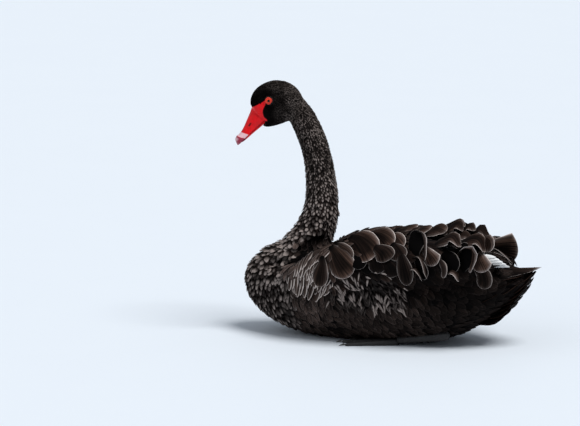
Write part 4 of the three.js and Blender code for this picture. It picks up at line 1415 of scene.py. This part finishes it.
class SWAN_OT_wing_feathers(bpy.types.Operator):
    """Large round feathers that lie over the folded wings"""

    bl_idname = "swan.wing_feathers"
    bl_label = "Round wing feathers"

    def execute(self, context):
        material = plumage("round plumage", 1.6, tuple(colours().rim), 0.7, 0.0002)
        looks = {"cup": 0.25, "roll": 2.4, "wave": 0.4}
        for (name, side), rows in zip(SIDES, (WING_FEATHERS, FAR_WING_FEATHERS)):
            # These feathers' lower sides get a lighter painted shade.
            large_feathers(f"wing_feathers_{name}", rows, side, material, 45 + side, 0.4, **looks)
        return {"FINISHED"}


def atlas(count):
    """Middles of an even grid of map patches, one for each large feather, and the grid's step."""
    across = math.ceil(math.sqrt(count))
    index = np.arange(count)
    step = 1 / across
    return np.stack([(index % across + 0.5) * step, (index // across + 0.5) * step], 1), step


FLIGHT_COUNT, FLIGHT_WIDTH = 5, 15.0
# x of the tip of the shortest flight feather, and how far the longest passes it
FLIGHT_REACH = {"left": (499, 28), "right": (484, 12)}


class SWAN_OT_flight_feathers(bpy.types.Operator):
    """White ends of the folded flight feathers"""

    bl_idname = "swan.flight_feathers"
    bl_label = "Flight feathers"

    def execute(self, context):
        shader = Shader("white plumage")
        barb, margin, tip = (shader.attribute(word) for word in ("barb", "margin", "tip"))
        fine = shader.noise(shader.vector(barb * 3.0, margin * 0.3), 1.0, 2.0)
        paint = shader.mix(shader.step(fine, 0.4, 0.8) * 0.3, tuple(colours().white), (0.55, 0.57, 0.6))
        paint = shader.mix(1 - shader.step(tip, 0.1, 0.3), paint, tuple(colours().soot))
        white = shader.surface({"Base Color": paint, "Roughness": 0.6, "Specular IOR Level": 0.3})
        for name, side in SIDES:
            k = np.arange(FLIGHT_COUNT) / (FLIGHT_COUNT - 1)
            s = VANE[None, :, None]
            first, more = FLIGHT_REACH[name]
            root = np.stack([430 + 0 * k, -side * (40 + 6 * k), 164 - 8 * k], 1)
            tip = np.stack([first + more * k, -side * (44 + 5 * k), 170 - 15 * k], 1)
            line = root[:, None] * (1 - s) + tip[:, None] * s + np.array((0, 0, 3.0)) * np.sin(s * math.pi)
            up = unit(np.broadcast_to((0, -0.65 * side, 0.85), line.shape).astype(float))
            half = outline(VANE, np.full(FLIGHT_COUNT, FLIGHT_WIDTH), 0.6)
            coat = Coat()
            middles, step = atlas(FLIGHT_COUNT)
            coat.add(line, up, VANE, half, 12, depth=0.4, tone=k, pale=1.0, patch=0.9 * step, seats=middles)
            coat.piece(f"flight_{name}", white, "white_feather", f"flight_feathers_{name}")
        return {"FINISHED"}


TAIL_COUNT, TAIL_WIDTH = 15, 17.0
TAIL_ROOT, TAIL_END = 452, 571  # x of the roots, and of the middle feathers' tips


class SWAN_OT_tail_feathers(bpy.types.Operator):
    """Fan of tail feathers over the feathers under the tail"""

    bl_idname = "swan.tail_feathers"
    bl_label = "Tail"

    def execute(self, context):
        c = colours()
        material = plumage("tail plumage", 1.2, tuple(c.rim), 0.2, 0.0002)
        k = np.linspace(-1, 1, TAIL_COUNT)
        k = k[np.argsort(-np.abs(k), kind="stable")]
        s = VANE[None, :, None]
        reach = TAIL_END - 44 * np.abs(k) ** 2.2
        root = np.stack([TAIL_ROOT + 0 * k, 12 * k, 138 - np.abs(k) * 2], 1)
        tip = np.stack([reach, 38 * k, 146 - 8 * k**2], 1)
        line = root[:, None] * (1 - s) + tip[:, None] * s - np.array((0, 0, 1.0)) * np.sin(s * math.pi)
        line = line - np.array((0, 0, 4.0)) * (np.abs(k)[:, None, None] - 0.5) * 1.2
        up = unit(np.stack([0 * k, 0.35 * k, 1 + 0 * k], 1))[:, None] + 0 * line
        half = outline(VANE, np.full(TAIL_COUNT, TAIL_WIDTH), 0.8)
        coat = Coat()
        middles, step = atlas(TAIL_COUNT)
        coat.add(line, up, VANE, half, 12, depth=0.4, ragged=0.02, tone=(k + 1) / 2, pale=0.9,
                 rng=np.random.default_rng(51), patch=0.9 * step, seats=middles)  # fmt: skip
        coat.piece("tail_feathers", material, "plumage", "tail")
        # Dark rims and little glow under the tail: painted shade there.
        under = plumage("vent plumage", 1.2, (0.10, 0.05, 0.035), 0.1, 0.0002)
        looks = {"cup": 0.3, "roll": 2.2, "wave": 0.5}
        for name, side in SIDES:
            large_feathers(f"vent_feathers_{name}", VENT_FEATHERS, side, under, 55 + side, **looks)
        return {"FINISHED"}


def bill_finish():
    """Waxy red with a pale band near the tip, a dark pink nail and fine growth lines, with a painted highlight
    along the ridge, a painted glare on the nail and painted shade in the nostrils.
    """
    c = colours()
    shader = Shader("bill")
    out, rise = shader.attribute("out"), shader.attribute("rise")
    cloud = shader.noise(shader.place(), 120.0, 3.0)
    grain = shader.noise(shader.place(), 900.0, 2.0)
    red = shader.mix(shader.step(cloud, 0.35, 0.7) * 0.45, tuple(c.red), (0.42, 0.001, 0.004))
    # Lighter red towards the ridge: a painted highlight along the bill's top.
    red = shader.mix(shader.step(rise, 8.0, 16.0) * 0.3, red, (0.85, 0.03, 0.035))
    skewed = out + cloud * 2.0 - rise * 0.4
    band = shader.step(skewed, 47.6, 49.0) * (1 - shader.step(skewed, 57.0, 58.0))
    band = band * shader.step(rise, -7.5, -5.5)
    paint = shader.mix(band * 0.96, red, tuple(c.band))
    paint = shader.mix(shader.step(skewed, 57.4, 58.6), paint, tuple(c.nail))
    # Pale spot on the nail's tip: a painted glare.
    painted_nail_glare = shader.step(out, 60.0, 64.0) * shader.step(rise, 1.0, 4.5)
    paint = shader.mix(painted_nail_glare * 0.75, paint, tuple(c.band))
    # Nostril slits painted nearly black: painted shade inside them.
    paint = shader.mix(shader.attribute("nostril_shade"), paint, (0.01, 0.001, 0.001))
    return shader.surface(
        {
            "Base Color": paint,
            "Roughness": 0.3 + grain * 0.15,
            "Specular IOR Level": 0.25,
            "Normal": shader.bump(grain * 0.4 + cloud * 0.6, 0.00025),
        }
    )


class SWAN_OT_bill(bpy.types.Operator):
    """Both halves of the bill, with nostrils, cutting edges and nail"""

    bl_idname = "swan.bill"
    bl_label = "Bill"

    def execute(self, context):
        material = bill_finish()
        for node in ("bill_upper", "bill_lower"):
            bill = copy_of(node, node + "_horn")
            apply_modifier(bill, "REMESH", mode="VOXEL", voxel_size=0.0008)
            soften(bill, 14)
            points, normals = points_of(bill), normals_of(bill)
            out, rise, left = in_bill(points).T
            upper = node == "bill_upper"
            if upper:
                along, across = (out - NOSTRIL[0]) / 4.2, (rise - NOSTRIL[1]) / 1.3
                slit = np.exp(-(along**4) - across**2) * (np.abs(left) > 5)
                lip = np.exp(-(((np.hypot(along / 1.35, across / 1.9) - 1) / 0.3) ** 2)) * (np.abs(left) > 5)
                nail = smooth(out, 56, 58) * smooth(rise, -2, 1) * np.exp(-((left / 9) ** 4))
                seam = np.exp(-(((out - 56.5) / 0.7) ** 2))
                move = -2.2 * slit + 0.3 * lip + 0.4 * nail - 0.25 * seam + 0.8 * smooth(out, 55, 68)
            else:
                move = slit = 0 * out
            set_points(bill, points + normals * move[:, None])
            store(bill, "out", out)
            store(bill, "rise", rise)
            store(bill, "nostril_shade", slit)
            finish_piece(bill, material, "bill", node)
        return {"FINISHED"}


def eye_finish():
    """Glossy orange-red iris with dark streaks round a black pupil."""
    c = colours()
    pupil = sizes().pupil / MM
    shader = Shader("eye")
    ring, turn = shader.attribute("ring"), shader.attribute("turn")
    streaks = shader.noise(shader.vector(turn * 6.0, ring * 0.4), 1.0, 3.0)
    iris = shader.mix(shader.step(streaks, 0.35, 0.7) * 0.6, tuple(c.iris), (0.25, 0.012, 0.006))
    iris = shader.mix(shader.step(ring, 4.4, 5.4), iris, (0.10, 0.008, 0.006))
    paint = shader.mix(shader.step(ring, pupil - 0.15, pupil + 0.15), (0.002, 0.002, 0.002), iris)
    return shader.surface(
        {"Base Color": paint, "Roughness": 0.1, "Specular IOR Level": 0.2}
    )


class SWAN_OT_eyes(bpy.types.Operator):
    """Eyes, and the bare rims of their lids"""

    bl_idname = "swan.eyes"
    bl_label = "Eyes"

    def execute(self, context):
        material = eye_finish()
        shader = Shader("lid")
        grain = shader.noise(shader.place(), 1400.0, 2.0)
        lid = shader.surface(
            {
                "Base Color": shader.mix(grain, (0.55, 0.03, 0.02), (0.85, 0.075, 0.045)),
                "Roughness": 0.5,
                "Specular IOR Level": 0.2,
                "Normal": shader.bump(grain, 0.0002),
            }
        )
        for name, side in SIDES:
            low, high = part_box(f"eye_{name}")
            middle = (low + high) / 2
            facing = Vector(LEFTWARD * side)
            turn = facing.to_track_quat("Z", "Y").to_euler()
            deselect()
            bpy.ops.mesh.primitive_uv_sphere_add(
                segments=64, ring_count=48, radius=EYE_RADIUS * MM, location=middle, rotation=turn
            )
            ball = bpy.context.object
            ball.name = ball.data.name = f"eyeball_{name}"
            self.place(ball)
            points = points_of(ball)
            ahead, above, _ = in_head(points).T
            store(ball, "ring", np.hypot(ahead - EYE_AHEAD, above - EYE_ABOVE))
            store(ball, "turn", np.arctan2(above - EYE_ABOVE, ahead - EYE_AHEAD))
            finish_piece(ball, material, "eye", f"eye_{name}")
            deselect()
            rim_at = middle + facing * math.sqrt(EYE_RADIUS**2 - LID_OPENING**2) * MM
            bpy.ops.mesh.primitive_torus_add(
                major_segments=72, minor_segments=16, major_radius=LID_RADIUS * MM,
                minor_radius=LID_ROLL * MM, location=rim_at, rotation=turn,
            )  # fmt: skip
            rim = bpy.context.object
            rim.name = rim.data.name = f"eyelid_{name}"
            self.place(rim)
            points = points_of(rim)
            ahead, above, left = in_head(points).T
            ahead, above = ahead - EYE_AHEAD, above - EYE_ABOVE
            pinch = 1 - 0.10 * np.cos(2 * np.arctan2(above, ahead) + 0.5)
            points = from_head(EYE_AHEAD + ahead * (2 - pinch), EYE_ABOVE + above * pinch, left)
            set_points(rim, points)
            finish_piece(rim, lid, "eye")
        return {"FINISHED"}

    def place(self, o):
        """Puts a new piece's place in its mesh, and drops the map that it came with."""
        bpy.ops.object.transform_apply(location=True, rotation=True, scale=True)
        drop_maps(o)


# Toes: from the heel forward, by their angle outward and their share of the longest
HEEL = (322, 66)  # (x, outward)
TOE_LENGTH, CLAW_LENGTH, CLAW_RADIUS = 108, 11, 2.5
TOES = ((-9, 0.84), (7, 1), (24, 0.93))


class SWAN_OT_feet(bpy.types.Operator):
    """Webbed feet and scaly shanks, tucked beside the belly, with claws"""

    bl_idname = "swan.feet"
    bl_label = "Feet"

    def execute(self, context):
        shader = Shader("foot skin")
        scutes = shader.cells(shader.place(), 380.0, "DISTANCE_TO_EDGE")
        grain = shader.noise(shader.place(), 700.0, 3.0)
        plates = shader.step(scutes, 0.02, 0.14)
        paint = shader.mix(plates * 0.6 + grain * 0.3, (0.006, 0.005, 0.005), tuple(colours().hide))
        hide = shader.surface(
            {
                "Base Color": paint,
                "Roughness": 0.5 + grain * 0.2,
                "Normal": shader.bump(plates * 0.7 + grain * 0.3, 0.0006),
            }
        )
        for name, side in SIDES:
            for node in (f"foot_{name}", f"leg_{name}"):
                limb = copy_of(node, node + "_skin")
                apply_modifier(limb, "REMESH", mode="VOXEL", voxel_size=0.0012)
                soften(limb, 10)
                finish_piece(limb, hide, "foot_skin", node)
        horn = Shader("claw horn")
        grain = horn.noise(horn.place(), 500.0, 3.0)
        dull = horn.mix(grain * 0.5, (0.012, 0.010, 0.009), (0.05, 0.04, 0.035))
        horn = horn.surface({"Base Color": dull, "Roughness": 0.3 + grain * 0.2, "Specular IOR Level": 0.4})
        for name, side in SIDES:
            claws = joined([self.claw(side, *toe) for toe in TOES], f"claws_{name}")
            finish_piece(claws, horn, "foot_skin")
        return {"FINISHED"}

    def claw(self, side, angle, share):
        """A hooked claw at a toe's end."""
        deselect()
        bpy.ops.mesh.primitive_uv_sphere_add(segments=24, ring_count=20, radius=1)
        claw = bpy.context.object
        drop_maps(claw)
        across, high, along = read(claw.data.vertices, "co", 3).astype(float).T
        t = (along + 1) / 2
        plump = np.sqrt(np.clip(1 - along**2, 1e-9, 1))
        radius = CLAW_RADIUS * (1 - 0.75 * t)
        way = math.radians(angle)
        ahead = np.array((-math.cos(way), -side * math.sin(way), 0))
        aside = np.array((-ahead[1], ahead[0], 0))
        toe = np.array((*HEEL, 0)) * (1, -side, 1) + ahead * (TOE_LENGTH * share - 2)
        height = 3.4 - 2.7 * t**1.6 + high / plump * radius * 0.9 * np.minimum(plump * 1.4, 1)
        points = toe + ahead * (t * CLAW_LENGTH)[:, None]
        points += aside * (across / plump * radius * 0.7 * np.minimum(plump * 1.4, 1))[:, None]
        points[:, 2] = np.maximum(height, 0.3)
        set_points(claw, points)
        return claw


# Camera: the photograph's, 20 degrees round from the bird's left side and 10 degrees above the water
IMAGE_SIZE = (580, 426)
CAMERA_AROUND, CAMERA_ABOVE = math.radians(20), math.radians(10)
CAMERA_FAR = 9000
MM_PER_PIXEL = 1.85
BREAST_PIXEL = (245.5, 280)  # where the breast meets the water


class SWAN_OT_stage(bpy.types.Operator):
    """Pale floor, soft studio lights and the camera"""

    bl_idname = "swan.stage"
    bl_label = "Stage"

    def execute(self, context):
        deselect()
        bpy.ops.mesh.primitive_circle_add(
            vertices=128, radius=sizes().floor, fill_type="NGON", location=(0, 0, -0.0002)
        )
        floor = context.object
        floor.name = floor.data.name = "floor"
        bpy.ops.object.transform_apply(location=True)
        shader = Shader("floor")
        grain = shader.noise(shader.place(), 6.0, 4.0)
        paint = shader.mix(grain * 0.15, tuple(colours().floor), (0.70, 0.76, 0.82))
        matt = shader.surface({"Base Color": paint, "Roughness": 0.6, "Specular IOR Level": 0.2})
        floor.data.materials.append(matt)
        world = bpy.data.worlds.new("studio")
        world.use_nodes = True
        background = world.node_tree.nodes["Background"]
        background.inputs["Color"].default_value = (0.83, 0.90, 1.0, 1)
        background.inputs["Strength"].default_value = 0.36
        context.scene.world = world
        context.scene.view_settings.view_transform = "Standard"
        self.lamp(context, "high softbox", (1.3, -0.5, 2.7), 2.7, math.radians(30))
        self.lamp(context, "front softbox", (-2.0, -2.0, 1.6), 0.3, math.radians(60))
        self.camera(context)
        return {"FINISHED"}

    def lamp(self, context, name, place, strength, spread):
        """A distant soft lamp, shining from its place to the bird."""
        light = bpy.data.lights.new(name, "SUN")
        light.energy, light.angle = strength, spread
        lamp = bpy.data.objects.new(name, light)
        lamp.location = place
        lamp.rotation_euler = (-Vector(place)).to_track_quat("-Z", "Y").to_euler()
        context.scene.collection.objects.link(lamp)

    def camera(self, context):
        a, e = CAMERA_AROUND, CAMERA_ABOVE
        right = np.array((math.cos(a), math.sin(a), 0))
        up = np.array((-math.sin(a) * math.sin(e), math.cos(a) * math.sin(e), math.cos(e)))
        back = np.array((math.sin(a) * math.cos(e), -math.cos(a) * math.cos(e), math.sin(e)))
        aim = np.array((0, 0, WATERLINE), float)
        aim += right * (IMAGE_SIZE[0] / 2 - BREAST_PIXEL[0]) * MM_PER_PIXEL
        aim += up * (BREAST_PIXEL[1] - IMAGE_SIZE[1] / 2) * MM_PER_PIXEL
        data = bpy.data.cameras.new("camera")
        data.sensor_width = 36
        data.lens = 36 * CAMERA_FAR / (MM_PER_PIXEL * IMAGE_SIZE[0])
        data.clip_end = 100
        camera = bpy.data.objects.new("camera", data)
        camera.location = in_metres(aim + back * CAMERA_FAR)
        camera.rotation_euler = (-Vector(back)).to_track_quat("-Z", "Y").to_euler()
        context.scene.collection.objects.link(camera)
        context.scene.camera = camera


STEPS = ("stage", "skin", "bill", "eyes", "feet", "neck_coat", "body_coat", "wing_coat", "wing_feathers",
         "curled_feathers", "flight_feathers", "tail_feathers")  # fmt: skip


class SWAN_PT_panel(bpy.types.Panel):
    """Sizes, colours and steps of the swan"""

    bl_idname = "SWAN_PT_panel"
    bl_label = "Black swan"
    bl_space_type = "VIEW_3D"
    bl_region_type = "UI"
    bl_category = "Swan"

    def draw(self, context):
        for group in (context.scene.swan_sizes, context.scene.swan_colours):
            for name in group.__annotations__:
                self.layout.prop(group, name)
        for step in STEPS:
            self.layout.operator(f"swan.{step}")


CLASSES = (
    SwanSizes,
    SwanColours,
    SWAN_OT_stage,
    SWAN_OT_skin,
    SWAN_OT_bill,
    SWAN_OT_eyes,
    SWAN_OT_feet,
    SWAN_OT_neck_coat,
    SWAN_OT_body_coat,
    SWAN_OT_wing_coat,
    SWAN_OT_wing_feathers,
    SWAN_OT_curled_feathers,
    SWAN_OT_flight_feathers,
    SWAN_OT_tail_feathers,
    SWAN_PT_panel,
)


def register():
    for each in CLASSES:
        bpy.utils.register_class(each)
    bpy.types.Scene.swan_sizes = bpy.props.PointerProperty(type=SwanSizes)
    bpy.types.Scene.swan_colours = bpy.props.PointerProperty(type=SwanColours)


def unregister():
    del bpy.types.Scene.swan_colours
    del bpy.types.Scene.swan_sizes
    for each in reversed(CLASSES):
        bpy.utils.unregister_class(each)


def main():
    register()
    for step in STEPS:
        getattr(bpy.ops.swan, step)()
    bpy.context.view_layer.update()


if __name__ == "__main__":
    main()
